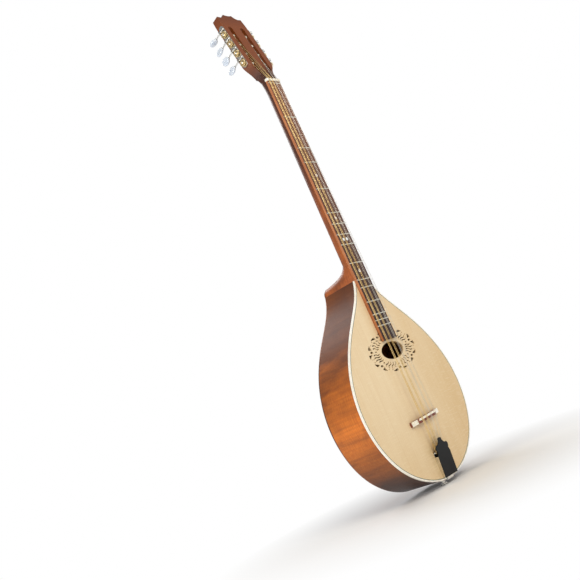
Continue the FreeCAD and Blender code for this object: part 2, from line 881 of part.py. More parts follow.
def tailpiece_cover():
    """Black sheet with a scalloped string end, sloping up towards the bridge."""
    tail_corner = Vector(cover_half_width, cover_tail_y, 0)
    waist_start = Vector(cover_half_width, cover_waist_start_y, 0)
    waist = Vector(cover_waist_half, cover_waist_y, 0)
    horn = Vector(cover_horn_half, cover_horn_y, 0)
    horn_tip = Vector(cover_horn_tip_x, cover_horn_tip_y, 0)
    hollow = Vector(cover_hollow_x, cover_hollow_y, 0)
    tab = Vector(cover_tab_half, cover_tab_y, 0)
    half_edges = [
        line(Vector(0, cover_tail_y, 0), tail_corner),
        line(tail_corner, waist_start),
        line(waist_start, waist),
        arc(waist, horn, horn_tip),
        arc(horn_tip, hollow, tab),
        line(tab, Vector(0, cover_peak_y, 0)),
    ]
    mirrored = [edge.mirror(Vector(0, 0, 0), Vector(1, 0, 0)) for edge in half_edges]
    plan = Part.Wire(Part.__sortEdges__(half_edges + mirrored))
    sheet = prism(plan, -cover_thickness, 0)
    rail_x = cover_half_width - flange_inset - base_metal - cover_gap
    rail = box(
        rail_x - cover_thickness, rail_x, cover_tail_y, flange_front_y, -cover_thickness - cover_rail, 0
    )
    cover = sheet.fuse(both_sides(rail)).removeSplitter()
    cover.translate(Vector(0, -cover_tail_y, 0))
    cover.rotate(Vector(0, 0, 0), Vector(1, 0, 0), cover_angle_deg)
    cover.translate(Vector(0, cover_tail_y, cover_tail_z))
    return cover


def wood_screw(x, z):
    """Domed head outside the bracket, plain shank in the tail block."""
    face_y = tail_y - base_metal
    shank = rod(screw_radius, Vector(x, face_y, z), Vector(x, tail_y + screw_length - screw_end_room, z))
    head = rod(screw_head_radius, Vector(x, face_y - screw_head_height, z), Vector(x, face_y, z))
    slot = box(
        x - screw_head_radius, x + screw_head_radius,
        face_y - screw_head_height - through, face_y - screw_head_height / 2, z - 0.35, z + 0.35,
    )
    return head.cut(slot).fuse(shank)


def tailpiece_screws():
    return group([wood_screw(x, z) for x, z in tail_screw_places()])


def strap_button():
    """Turned button: flange, waist and head on a screw shank."""
    z = -strap_button_depth
    flange_y = tail_y - base_metal
    waist_y = flange_y - strap_flange_thickness
    head_y = waist_y - strap_waist_length
    shank = rod(strap_shank_radius, Vector(0, flange_y, z), Vector(0, tail_y + strap_shank_length - screw_end_room, z))
    flange = rod(strap_flange_radius, Vector(0, waist_y, z), Vector(0, flange_y, z))
    waist = rod(strap_waist_radius, Vector(0, head_y, z), Vector(0, waist_y, z))
    head = rod(strap_head_radius, Vector(0, head_y - strap_head_thickness, z), Vector(0, head_y, z))
    rim = [e for e in head.Edges if e.BoundBox.YMax < head_y - strap_head_thickness + 0.01]
    head = head.makeFillet(1.0, rim)
    return shank.fuse([flange, waist, head]).removeSplitter()


# ---- tuners, drawn in headstock terms for the right side ----

def roller_s(n):
    return tuner_first_s + n * tuner_spacing


def plate_screw_places():
    """One screw past each worm, along the headstock."""
    return [roller_s(n) + gear_center_gap + plate_screw_past_worm for n in range(tuner_count)]


def tuner_plate():
    """Flat strip on the headstock's side with a pair of bearing ears for each worm."""
    s0 = tuner_first_s - plate_end
    s1 = plate_screw_places()[-1] + plate_past_screw
    low = -roller_depth - plate_width / 2
    high = -roller_depth + plate_width / 2
    strip = box(head_half_width, plate_x, s0, s1, low, high)
    corners = [e for e in strip.Edges if e.BoundBox.XLength > plate_thickness - 0.01
               and e.BoundBox.YLength < 0.01 and e.BoundBox.ZLength < 0.01]
    strip = strip.makeFillet(plate_width / 2 - 0.2, corners)
    ears = []
    holes = []
    for n in range(tuner_count):
        center_s = roller_s(n)
        holes.append(rod(
            roller_radius + bearing_clearance,
            Vector(head_half_width - through, center_s, -roller_depth),
            Vector(plate_x + through, center_s, -roller_depth),
        ))
        worm_s = center_s + gear_center_gap
        for ear_o in worm_ear_places():
            ears.append(box(
                head_half_width, worm_x + worm_shaft_radius + 1.3,
                worm_s - worm_shaft_radius - 1.4, worm_s + worm_shaft_radius + 1.4,
                ear_o, ear_o + worm_ear_thickness,
            ))
        holes.append(rod(
            worm_shaft_radius + bearing_clearance,
            Vector(worm_x, worm_s, -head_thickness), Vector(worm_x, worm_s, 3 * shaft_front_end),
        ))
    for s in plate_screw_places():
        holes.append(rod(
            plate_screw_radius, Vector(head_half_width - through, s, -roller_depth),
            Vector(plate_x + through, s, -roller_depth),
        ))
    return strip.fuse(ears).cut(holes).removeSplitter()


def worm_ear_places():
    """Low faces of the two ears, along the worm's axis."""
    room = worm_length / 2 + 0.3
    return [-roller_depth - room - worm_ear_thickness, -roller_depth + room]


def plate_screws():
    screws = []
    for s in plate_screw_places():
        shank = rod(
            plate_screw_radius, Vector(head_half_width - 7.0, s, -roller_depth),
            Vector(plate_x, s, -roller_depth),
        )
        head = rod(plate_screw_head_radius, Vector(plate_x, s, -roller_depth), Vector(plate_x + 1.0, s, -roller_depth))
        screws.append(shank.fuse(head))
    return screws


def roller(n):
    """Post from the centre rail through the slot to the gear, with its string hole and end screw."""
    s = roller_s(n)
    inner = slot_half_x - slot_width / 2 - roller_in_rail
    post = rod(roller_radius, Vector(inner, s, -roller_depth), Vector(gear_x, s, -roller_depth))
    hole_x = slot_half_x + 1.0
    hole = rod(
        roller_hole_radius, Vector(hole_x, s, -roller_depth - roller_radius - through),
        Vector(hole_x, s, -roller_depth + roller_radius + through),
    )
    head_x = gear_x + gear_thickness
    screw = rod(2.2, Vector(head_x, s, -roller_depth), Vector(head_x + 1.3, s, -roller_depth))
    cross = box(head_x + 0.6, head_x + 2.0, s - 2.2, s + 2.2, -roller_depth - 0.35, -roller_depth + 0.35)
    return group([post.cut(hole), screw.cut(cross)])


def gear(n):
    """Brass wheel with straight-flanked teeth on the roller's outer end."""
    s = roller_s(n)
    pitch = 2 * math.pi / gear_teeth
    points = []
    for tooth in range(gear_teeth):
        turn = tooth * pitch
        for share, radius in ((0.0, gear_root_radius), (0.22, gear_root_radius),
                              (0.36, gear_tip_radius), (0.64, gear_tip_radius), (0.78, gear_root_radius)):
            angle = turn + (share + 0.5) * pitch
            points.append(Vector(
                gear_x, s + radius * math.cos(angle), -roller_depth + radius * math.sin(angle)
            ))
    return Part.Face(closed(points)).extrude(Vector(gear_thickness, 0, 0))


def worm(n):
    """Worm blank on its shaft, which runs back to the button."""
    s = roller_s(n) + gear_center_gap
    x = worm_x
    blank = rod(
        worm_radius, Vector(x, s, -roller_depth - worm_length / 2), Vector(x, s, -roller_depth + worm_length / 2)
    )
    shaft = rod(
        worm_shaft_radius, Vector(x, s, -button_start - button_socket), Vector(x, s, shaft_front_end)
    )
    collar_low = worm_ear_places()[0] - 1.6
    collar = rod(worm_radius, Vector(x, s, collar_low), Vector(x, s, worm_ear_places()[0] - 0.2))
    return shaft.fuse([blank, collar])


def button(n):
    """Flat oval grip with a short neck round the shaft's end."""
    s = roller_s(n) + gear_center_gap
    x = worm_x
    tip = -button_start - button_length
    middle = (-button_start + tip) / 2
    grip = Part.makeSphere(button_length / 2, Vector(0, 0, 0))
    stretch = FreeCAD.Matrix()
    stretch.scale(button_thickness / button_length, button_width / button_length, 1.0)
    grip = grip.transformGeometry(stretch)
    grip.rotate(Vector(0, 0, 0), Vector(0, 0, 1), button_turns_deg[n])
    grip.translate(Vector(x, s, middle))
    collar = rod(worm_shaft_radius + 1.4, Vector(x, s, middle), Vector(x, s, -button_start + 1.0))
    socket = rod(
        worm_shaft_radius, Vector(x, s, -button_start - button_socket), Vector(x, s, -button_start + 2.0)
    )
    return grip.fuse(collar).cut(socket)


# ---- strings ----

def string_path(course, member):
    """Hook, saddle, zero fret, nut and roller, as the string's centreline."""
    radius = string_radii[course]
    lift = radius + string_rest_gap
    number = 2 * course + member
    sign = -1 if number < tuner_count else 1
    saddle_x = string_x(course, member, saddle_course_spacing, saddle_pair_spacing)
    hook_start = Vector(hook_x(course, member), hook_y + hook_radius + string_to_hook_gap, string_hook_z)
    saddle_y = bridge_y + (saddle_x - bridge_x) * bridge_slope + bridge_thickness / 2 - saddle_thickness
    saddle = Vector(saddle_x, saddle_y, saddle_top_z + lift + string_over_saddle)
    zero = Vector(nut_string_x(course, member), scale_length, fret_top_z + lift)
    behind_nut = Vector(nut_string_x(course, member), nut_back_y + 0.5, fret_top_z + lift - 0.35)
    return [hook_start, saddle, zero, behind_nut, roller_touch(course, member, sign)]


def roller_order(course, member):
    """Outer strings go to the rollers nearest the nut."""
    number = 2 * course + member
    return number if number < tuner_count else 2 * tuner_count - 1 - number


def roller_touch(course, member, sign):
    radius = string_radii[course]
    order = roller_order(course, member)
    out = -roller_depth + roller_radius + 0.35 + radius
    across = slot_half_x + (2.0 if order == 0 else 0.6)
    local = Part.Vertex(sign * across, roller_s(order), out)
    return tilt(local).Point


def string(course, member):
    """Straight taut runs with mitred corners."""
    points = string_path(course, member)
    path = Part.makePolygon(points)
    first = points[1].sub(points[0])
    profile = Part.Wire([Part.Circle(points[0], first, string_radii[course]).toShape()])
    return path.makePipeShell([profile], True, False, 1)


def course_pair(course):
    return group([string(course, 0), string(course, 1)])


# ---- writing every piece ----

save("soundboard", soundboard())
save("purfling", purfling())
save("top_binding", binding())
save("side_left", side(-1))
save("side_right", side(1))
save("back_plate", back_plate())
save("linings", linings())
save("tail_block", tail_block())
save("soundboard_braces", soundboard_braces())
save("back_braces", back_braces())
save("neck", neck())
save("fretboard", fretboard())
save("frets", frets())
save("position_dots", position_dots())
save("nut", nut())
save("bridge_base", bridge_base())
save("bridge_saddle", bridge_saddle())
save("tailpiece_base", tailpiece_base())
save("tailpiece_cover", tailpiece_cover())
save("tailpiece_screws", tailpiece_screws())
save("strap_button", strap_button())

for sign, hand in ((-1, "left"), (1, "right")):
    def handed(shape, sign=sign):
        return tilt(shape if sign > 0 else shape.mirror(Vector(0, 0, 0), Vector(1, 0, 0)))
    save("tuner_plate_" + hand, handed(tuner_plate()))
    for n in range(tuner_count):
        label = hand + "_" + str(n + 1)
        save("roller_" + label, handed(roller(n)))
        save("gear_" + label, handed(gear(n)))
        save("worm_" + label, handed(worm(n)))
        save("button_" + label, handed(button(n)))

all_plate_screws = plate_screws()
all_plate_screws += [s.mirror(Vector(0, 0, 0), Vector(1, 0, 0)) for s in all_plate_screws]
save("tuner_screws", tilt(group(all_plate_screws)))

for course in range(course_count):
    save("string_course_" + str(course + 1), course_pair(course))
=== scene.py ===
import json
import math

import bmesh
import bpy
from mathutils import Matrix, Vector


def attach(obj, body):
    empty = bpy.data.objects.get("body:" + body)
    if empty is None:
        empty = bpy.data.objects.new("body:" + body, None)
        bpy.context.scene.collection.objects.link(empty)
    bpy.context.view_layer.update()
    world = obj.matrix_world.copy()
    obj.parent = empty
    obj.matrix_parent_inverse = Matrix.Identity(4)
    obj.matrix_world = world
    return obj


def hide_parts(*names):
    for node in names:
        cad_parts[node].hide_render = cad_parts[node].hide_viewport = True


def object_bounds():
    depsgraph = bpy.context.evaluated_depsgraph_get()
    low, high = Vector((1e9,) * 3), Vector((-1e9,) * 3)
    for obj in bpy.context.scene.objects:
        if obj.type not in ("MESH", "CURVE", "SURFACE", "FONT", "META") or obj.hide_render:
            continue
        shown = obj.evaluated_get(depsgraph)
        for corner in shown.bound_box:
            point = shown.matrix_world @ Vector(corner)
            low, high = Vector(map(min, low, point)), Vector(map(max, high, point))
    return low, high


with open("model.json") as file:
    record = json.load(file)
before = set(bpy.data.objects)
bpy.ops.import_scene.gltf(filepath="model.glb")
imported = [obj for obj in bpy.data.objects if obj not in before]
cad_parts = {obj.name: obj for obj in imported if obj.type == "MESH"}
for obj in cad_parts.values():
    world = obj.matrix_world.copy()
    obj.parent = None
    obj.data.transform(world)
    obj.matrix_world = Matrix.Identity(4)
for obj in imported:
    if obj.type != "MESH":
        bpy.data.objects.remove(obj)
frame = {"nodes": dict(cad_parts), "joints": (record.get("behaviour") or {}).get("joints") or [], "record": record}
nodes = frame["nodes"]
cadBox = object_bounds()
mm = 0.001


# colours and shader nodes

def srgb(text):
    # #rrggbb as the screen shows it, to the linear values a socket wants
    parts = [int(text[i:i + 2], 16) / 255 for i in (1, 3, 5)]
    linear = [p / 12.92 if p <= 0.04045 else ((p + 0.055) / 1.055) ** 2.4 for p in parts]
    return (*linear, 1.0)


def addNode(tree, kind, inputs=None, **settings):
    # an input is a number, a hex colour, a socket, or a node, whose first live output is linked
    node = tree.nodes.new(kind)
    for name, value in settings.items():
        setattr(node, name, value)
    for name, value in (inputs or {}).items():
        socket = node.inputs[name]
        if isinstance(value, bpy.types.Node):
            value = next(output for output in value.outputs if output.enabled)
        if isinstance(value, bpy.types.NodeSocket):
            tree.links.new(value, socket)
        elif isinstance(value, str):
            socket.default_value = srgb(value)
        else:
            socket.default_value = value
    return node


def newMaterial(name):
    material = bpy.data.materials.new(name)
    material.use_nodes = True
    material.node_tree.nodes.clear()
    return material, material.node_tree


# camera

cameraSettings = {
    "place": (-1.0504, -0.8021, 0.16705),
    "right": (0.66435, -0.63559, -0.39327),
    "up": (0.14930, -0.40272, 0.90307),
    "forward": (0.73236, 0.65867, 0.17265),
    "lens": 47.64, "sensor": 36, "nearest": 0.01,
}


def makeCamera(s):
    data = bpy.data.cameras.new("camera")
    data.lens = s["lens"]
    data.sensor_width = s["sensor"]
    data.clip_start = s["nearest"]
    cam = bpy.data.objects.new("camera", data)
    bpy.context.scene.collection.objects.link(cam)
    back = [-v for v in s["forward"]]
    turn = Matrix((s["right"], s["up"], back)).transposed().to_4x4()
    cam.matrix_world = Matrix.Translation(s["place"]) @ turn
    bpy.context.scene.camera = cam


makeCamera(cameraSettings)
print("camera done")


# woods; a mapping scale is in cycles a metre, so 900 is a grain about 1.1 mm wide.
# In a colour mix, socket 0 is the factor, and 6 and 7 are the two colours.

spruceSettings = {
    "ringGap": 1.428 * mm, "wander": 0.006,
    "pale": "#efdcb8", "cream": "#e2c79a", "edgeTailTone": "#d3b27c",
    "line": "#cfa870", "lineMix": 0.3, "fibre": "#c79c63", "fibreMix": 0.22,
    "paintedSheen": "#f7ecd2", "paintedSheenMix": 0.16,
    "toneToRight": 0.55, "toneToTail": 0.45,
}


def spruceTop(s):
    # Spruce, bookmatched, planed and thinly lacquered: pale cream with fine straight growth lines,
    # the medullary rays across the grain drawn as painted sheen, and a low satin sheen
    material, tree = newMaterial("spruceTop")
    here = addNode(tree, "ShaderNodeTexCoord").outputs["Object"]
    split = addNode(tree, "ShaderNodeSeparateXYZ", {"Vector": here})
    wanderAt = addNode(tree, "ShaderNodeMapping", {"Vector": here, "Scale": (3, 1, 1.2)})
    wander = addNode(tree, "ShaderNodeTexNoise", {"Vector": wanderAt, "Scale": 3.0, "Detail": 2.0})
    mirrored = addNode(tree, "ShaderNodeMath", {0: split.outputs[0]}, operation="ABSOLUTE")
    across = addNode(tree, "ShaderNodeMath", {
        0: wander, 1: s["wander"], 2: mirrored}, operation="MULTIPLY_ADD")
    # growth lines, one wave for each ring
    phase = addNode(tree, "ShaderNodeMath", {0: across, 1: 2 * math.pi / s["ringGap"]}, operation="MULTIPLY")
    ring = addNode(tree, "ShaderNodeMath", {0: phase}, operation="SINE")
    grain = addNode(tree, "ShaderNodeMapRange", {"Value": ring, "From Min": 0.1})
    # fibre streaks run along the neck, the rays' painted sheen runs across them; both are drawn coarser than real
    # ones to show
    streakAt = addNode(tree, "ShaderNodeMapping", {"Vector": here, "Scale": (900, 900, 9)})
    streak = addNode(tree, "ShaderNodeTexNoise", {
        "Vector": streakAt, "Scale": 1.0, "Detail": 3.0, "Roughness": 0.6})
    paintedSheenAt = addNode(tree, "ShaderNodeMapping", {"Vector": here, "Scale": (60, 60, 420)})
    paintedSheen = addNode(tree, "ShaderNodeTexNoise", {"Vector": paintedSheenAt, "Scale": 1.0, "Detail": 2.0})
    toneAt = addNode(tree, "ShaderNodeMapping", {"Vector": here, "Scale": (14, 14, 3)})
    tone = addNode(tree, "ShaderNodeTexNoise", {"Vector": toneAt, "Scale": 1.0, "Detail": 2.0})
    toneMask = addNode(tree, "ShaderNodeMapRange", {"Value": tone, "From Min": 0.3, "From Max": 0.7})
    base = addNode(tree, "ShaderNodeMix", {0: toneMask, 6: s["pale"], 7: s["cream"]}, data_type="RGBA")
    # darker and warmer towards the right edge and the tail
    right = addNode(tree, "ShaderNodeMapRange", {
        "Value": split.outputs[0], "From Min": 0.0, "From Max": 0.13, "To Max": s["toneToRight"]})
    low = addNode(tree, "ShaderNodeMapRange", {
        "Value": split.outputs[2], "From Min": 0.2, "From Max": 0.0, "To Max": s["toneToTail"]})
    edgeTailTone = addNode(tree, "ShaderNodeMath", {0: right, 1: low}, operation="MAXIMUM")
    warmed = addNode(tree, "ShaderNodeMix", {0: edgeTailTone, 6: base, 7: s["edgeTailTone"]}, data_type="RGBA")
    lineMask = addNode(tree, "ShaderNodeMath", {0: grain, 1: s["lineMix"]}, operation="MULTIPLY")
    lined = addNode(tree, "ShaderNodeMix", {0: lineMask, 6: warmed, 7: s["line"]}, data_type="RGBA")
    fibreMask = addNode(tree, "ShaderNodeMapRange", {
        "Value": streak, "From Min": 0.45, "From Max": 0.75, "To Max": s["fibreMix"]})
    fibred = addNode(tree, "ShaderNodeMix", {0: fibreMask, 6: lined, 7: s["fibre"]}, data_type="RGBA")
    # painted sheen: lighter cream flecks where the medullary rays shimmer, the rays themselves being real figure
    paintedSheenMask = addNode(tree, "ShaderNodeMapRange", {
        "Value": paintedSheen, "From Min": 0.52, "From Max": 0.7, "To Max": s["paintedSheenMix"]})
    sheened = addNode(tree, "ShaderNodeMix", {0: paintedSheenMask, 6: fibred, 7: s["paintedSheen"]}, data_type="RGBA")
    height = addNode(tree, "ShaderNodeMath", {0: grain, 1: -0.4, 2: streak}, operation="MULTIPLY_ADD")
    relief = addNode(tree, "ShaderNodeBump", {"Height": height, "Strength": 0.12, "Distance": 0.1 * mm})
    rough = addNode(tree, "ShaderNodeMapRange", {
        "Value": streak, "From Min": 0.3, "From Max": 0.7, "To Min": 0.36, "To Max": 0.48})
    shader = addNode(tree, "ShaderNodeBsdfPrincipled", {
        "Base Color": sheened, "Roughness": rough, "Specular IOR Level": 0.35,
        "Coat Weight": 0.25, "Coat Roughness": 0.28, "Normal": relief})
    addNode(tree, "ShaderNodeOutputMaterial", {"Surface": shader})
    return material


def stainedMaple(name, s):
    # Figured maple, spirit-stained and lacquered: amber that goes to dark brown in stained patches; darker towards
    # the ends, on the sides' tail end partly as painted shade
    material, tree = newMaterial(name)
    here = addNode(tree, "ShaderNodeTexCoord").outputs["Object"]
    fibreAt = addNode(tree, "ShaderNodeMapping", {"Vector": here, "Scale": s["fibre"]})
    fine = addNode(tree, "ShaderNodeTexNoise", {
        "Vector": fibreAt, "Scale": 1.0, "Detail": 4.0, "Roughness": 0.6})
    poreAt = addNode(tree, "ShaderNodeMapping", {
        "Vector": here, "Scale": [v * s["poreFineness"] for v in s["fibre"]]})
    pores = addNode(tree, "ShaderNodeTexNoise", {
        "Vector": poreAt, "Scale": 1.0, "Detail": 2.0, "Roughness": 0.7})
    # flame figure: soft bands square to the grain
    flameAt = addNode(tree, "ShaderNodeMapping", {"Vector": here, "Scale": s["flame"]})
    flame = addNode(tree, "ShaderNodeTexNoise", {
        "Vector": flameAt, "Scale": 1.0, "Detail": 2.5, "Roughness": 0.55, "Distortion": 0.4})
    # stain that took unevenly: round clouds and longer drifts
    cloudAt = addNode(tree, "ShaderNodeMapping", {"Vector": here, "Location": s["seed"]})
    cloud = addNode(tree, "ShaderNodeTexNoise", {
        "Vector": cloudAt, "Scale": s["cloud"], "Detail": 3.0, "Roughness": 0.55, "Distortion": 0.6})
    driftAt = addNode(tree, "ShaderNodeMapping", {"Vector": here, "Scale": s["drift"], "Location": s["seed"]})
    drift = addNode(tree, "ShaderNodeTexNoise", {
        "Vector": driftAt, "Scale": 1.0, "Detail": 3.0, "Distortion": 0.8})
    fineMask = addNode(tree, "ShaderNodeMapRange", {"Value": fine, "From Min": 0.3, "From Max": 0.72})
    amber = addNode(tree, "ShaderNodeMix", {0: fineMask, 6: s["light"], 7: s["mid"]}, data_type="RGBA")
    flameMask = addNode(tree, "ShaderNodeMapRange", {
        "Value": flame, "From Min": 0.36, "From Max": 0.66, "To Max": s["flameMix"]})
    banded = addNode(tree, "ShaderNodeMix", {0: flameMask, 6: amber, 7: s["flameDark"]}, data_type="RGBA")
    cloudMask = addNode(tree, "ShaderNodeMapRange", {
        "Value": cloud, "From Min": s["patchLow"], "From Max": s["patchHigh"], "To Max": s["patchMix"]})
    patched = addNode(tree, "ShaderNodeMix", {0: cloudMask, 6: banded, 7: s["dark"]}, data_type="RGBA")
    driftMask = addNode(tree, "ShaderNodeMapRange", {
        "Value": drift, "From Min": 0.5, "From Max": 0.72, "To Max": s["driftMix"]})
    drifted = addNode(tree, "ShaderNodeMix", {0: driftMask, 6: patched, 7: s["dark"]}, data_type="RGBA")
    poreMask = addNode(tree, "ShaderNodeMapRange", {
        "Value": pores, "From Min": 0.58, "From Max": 0.78, "To Max": s["poreMix"]})
    color = addNode(tree, "ShaderNodeMix", {0: poreMask, 6: drifted, 7: s["dark"]}, data_type="RGBA")
    split = addNode(tree, "ShaderNodeSeparateXYZ", {"Vector": here})
    wobbleAt = addNode(tree, "ShaderNodeMapping", {
        "Vector": here, "Scale": (8, 8, 30), "Location": s["seed"]})
    wobble = addNode(tree, "ShaderNodeTexNoise", {
        "Vector": wobbleAt, "Scale": 1.0, "Detail": 3.0, "Roughness": 0.6})
    for ramp in s["stainAndShadeRamps"]:
        # darker towards one end along an axis, with a ragged border; the comment on each entry says what it stands
        # for
        spot = addNode(tree, "ShaderNodeMath", {
            0: wobble, 1: ramp["ragged"], 2: split.outputs[ramp["axis"]]}, operation="MULTIPLY_ADD")
        middle = ramp["ragged"] / 2
        rampMask = addNode(tree, "ShaderNodeMapRange", {
            "Value": spot, "From Min": ramp["from"] + middle, "From Max": ramp["to"] + middle,
            "To Max": ramp["amount"]})
        color = addNode(tree, "ShaderNodeMix", {0: rampMask, 6: color, 7: ramp["color"]}, data_type="RGBA")
    rough = addNode(tree, "ShaderNodeMapRange", {
        "Value": fine, "From Min": 0.3, "From Max": 0.7, "To Min": s["rough"], "To Max": s["rough"] + 0.12})
    height = addNode(tree, "ShaderNodeMath", {0: pores, 1: 0.5, 2: fine}, operation="MULTIPLY_ADD")
    edge = addNode(tree, "ShaderNodeBevel", {"Radius": s["edge"]}, samples=bevelSamples)
    relief = addNode(tree, "ShaderNodeBump", {
        "Height": height, "Strength": 0.09, "Distance": 0.12 * mm, "Normal": edge})
    shader = addNode(tree, "ShaderNodeBsdfPrincipled", {
        "Base Color": color, "Roughness": rough, "Specular IOR Level": 0.4, "Normal": relief,
        "Coat Weight": s["coat"], "Coat Roughness": s["coatRough"], "Coat Normal": edge})
    addNode(tree, "ShaderNodeOutputMaterial", {"Surface": shader})
    return material


bevelSamples = 6
sideWood = {
    "fibre": (500, 1300, 30), "poreFineness": 2.2, "poreMix": 0.5, "flame": (14, 4, 170), "flameMix": 0.36,
    "light": "#ee8a22", "mid": "#c8610f", "flameDark": "#8f420c", "dark": "#431c0a",
    "seed": (0.31, 0.4, 0.12), "cloud": 7.0, "patchLow": 0.5, "patchHigh": 0.7, "patchMix": 0.55,
    "drift": (5, 9, 46), "driftMix": 0.5, "rough": 0.42, "coat": 0.12, "coatRough": 0.25, "edge": 0.4 * mm,
    "stainAndShadeRamps": [
        # darker towards the tail: partly a stained burst, partly painted shade where the sides turn down, away
        # from the lamps
        {"axis": 2, "from": 0.13, "to": 0.03, "amount": 0.94, "color": "#1c0a04", "ragged": 0.04},
        # dark stain over the upper sides, with a brushed border
        {"axis": 2, "from": 0.17, "to": 0.26, "amount": 0.84, "color": "#42200e", "ragged": 0.16},
    ],
}
backWood = {
    "fibre": (1300, 500, 26), "poreFineness": 2.2, "poreMix": 0.5, "flame": (6, 14, 130), "flameMix": 0.4,
    "light": "#a8642c", "mid": "#83461c", "flameDark": "#6b3514", "dark": "#27130a",
    "seed": (0.7, 0.2, 0.9), "cloud": 8.0, "patchLow": 0.44, "patchHigh": 0.68, "patchMix": 0.85,
    "drift": (26, 6, 4), "driftMix": 0.55, "rough": 0.3, "coat": 0.5, "coatRough": 0.14, "edge": 0.8 * mm,
    "stainAndShadeRamps": [],
}
neckWood = {
    "fibre": (700, 700, 14), "poreFineness": 2.2, "poreMix": 0.5, "flame": (30, 30, 120), "flameMix": 0.3,
    "light": "#c26a2a", "mid": "#97481a", "flameDark": "#743414", "dark": "#35160c",
    "seed": (0.15, 0.65, 0.33), "cloud": 13.0, "patchLow": 0.48, "patchHigh": 0.7, "patchMix": 0.65,
    "drift": (30, 30, 7), "driftMix": 0.45, "rough": 0.38, "coat": 0.25, "coatRough": 0.16, "edge": 0.6 * mm,
    "stainAndShadeRamps": [
        # darker along the neck towards the nut and over the headstock
        {"axis": 2, "from": 0.42, "to": 0.62, "amount": 0.85, "color": "#34130a", "ragged": 0.1},
        # the headstock's own reddish-brown tone
        {"axis": 2, "from": 0.775, "to": 0.80, "amount": 0.7, "color": "#8f4a1c", "ragged": 0.01},
        # darker towards the headstock's crest
        {"axis": 2, "from": 0.895, "to": 0.93, "amount": 0.6, "color": "#4c1f10", "ragged": 0.01},
    ],
}

fretboardSettings = {
    "light": "#5a3a30", "mid": "#3b2420", "dark": "#241512", "pore": "#150b09",
    "paleAtNut": "#94604a", "paleAtNutMix": 0.75, "edgeLight": "#c98452", "edgeDark": "#9a5530", "stained": True,
}
bridgeSettings = {
    "light": "#a8604a", "mid": "#8a4636", "dark": "#6a3227", "pore": "#4a211a", "stained": False,
}


def stainEdges(tree, here, face, s):
    # the face pales towards the nut, and the long edges are stained to the neck's amber
    along = addNode(tree, "ShaderNodeSeparateXYZ", {"Vector": here}).outputs[2]
    # paler towards the nut end of the fretboard
    paleAtNutMask = addNode(tree, "ShaderNodeMapRange", {
        "Value": along, "From Min": 0.3, "From Max": 0.72, "To Max": s["paleAtNutMix"]})
    paleAtNut = addNode(tree, "ShaderNodeMix", {0: paleAtNutMask, 6: face, 7: s["paleAtNut"]}, data_type="RGBA")
    normal = addNode(tree, "ShaderNodeNewGeometry").outputs["True Normal"]
    split = addNode(tree, "ShaderNodeSeparateXYZ", {"Vector": normal})
    sideways = addNode(tree, "ShaderNodeMath", {0: split.outputs[0]}, operation="ABSOLUTE")
    streakAt = addNode(tree, "ShaderNodeMapping", {"Vector": here, "Scale": (900, 900, 20)})
    streak = addNode(tree, "ShaderNodeTexNoise", {"Vector": streakAt, "Scale": 1.0, "Detail": 3.0})
    streakMask = addNode(tree, "ShaderNodeMapRange", {"Value": streak, "From Min": 0.35, "From Max": 0.68})
    amber = addNode(tree, "ShaderNodeMix", {
        0: streakMask, 6: s["edgeLight"], 7: s["edgeDark"]}, data_type="RGBA")
    edgeMask = addNode(tree, "ShaderNodeMapRange", {"Value": sideways, "From Min": 0.6, "From Max": 0.7})
    return addNode(tree, "ShaderNodeMix", {0: edgeMask, 6: paleAtNut, 7: amber}, data_type="RGBA")


def rosewood(name, s):
    # Rosewood, scraped and oiled: dark bands, fine open pores that catch the light, low sheen
    material, tree = newMaterial(name)
    here = addNode(tree, "ShaderNodeTexCoord").outputs["Object"]
    bandAt = addNode(tree, "ShaderNodeMapping", {"Vector": here, "Scale": (260, 90, 9)})
    bands = addNode(tree, "ShaderNodeTexNoise", {
        "Vector": bandAt, "Scale": 1.0, "Detail": 3.0, "Roughness": 0.55, "Distortion": 0.7})
    fibreAt = addNode(tree, "ShaderNodeMapping", {"Vector": here, "Scale": (2600, 2600, 60)})
    fibre = addNode(tree, "ShaderNodeTexNoise", {
        "Vector": fibreAt, "Scale": 1.0, "Detail": 3.0, "Roughness": 0.6})
    # pores 0.3 mm wide and 4 mm long
    poreAt = addNode(tree, "ShaderNodeMapping", {"Vector": here, "Scale": (3600, 3600, 240)})
    pores = addNode(tree, "ShaderNodeTexNoise", {"Vector": poreAt, "Scale": 1.0, "Detail": 1.0})
    bandMask = addNode(tree, "ShaderNodeMapRange", {"Value": bands, "From Min": 0.35, "From Max": 0.65})
    base = addNode(tree, "ShaderNodeMix", {0: bandMask, 6: s["mid"], 7: s["dark"]}, data_type="RGBA")
    fibreMask = addNode(tree, "ShaderNodeMapRange", {
        "Value": fibre, "From Min": 0.4, "From Max": 0.7, "To Max": 0.5})
    warm = addNode(tree, "ShaderNodeMix", {0: fibreMask, 6: base, 7: s["light"]}, data_type="RGBA")
    poreMask = addNode(tree, "ShaderNodeMapRange", {"Value": pores, "From Min": 0.6, "From Max": 0.68})
    color = addNode(tree, "ShaderNodeMix", {0: poreMask, 6: warm, 7: s["pore"]}, data_type="RGBA")
    if s["stained"]:
        color = stainEdges(tree, here, color, s)
    rough = addNode(tree, "ShaderNodeMapRange", {
        "Value": fibre, "From Min": 0.3, "From Max": 0.7, "To Min": 0.42, "To Max": 0.58})
    edge = addNode(tree, "ShaderNodeBevel", {"Radius": 0.3 * mm}, samples=bevelSamples)
    relief = addNode(tree, "ShaderNodeBump", {
        "Height": pores, "Strength": -0.2, "Distance": 0.1 * mm, "Normal": edge})
    shader = addNode(tree, "ShaderNodeBsdfPrincipled", {
        "Base Color": color, "Roughness": rough, "Specular IOR Level": 0.4, "Normal": relief})
    addNode(tree, "ShaderNodeOutputMaterial", {"Surface": shader})
    return material


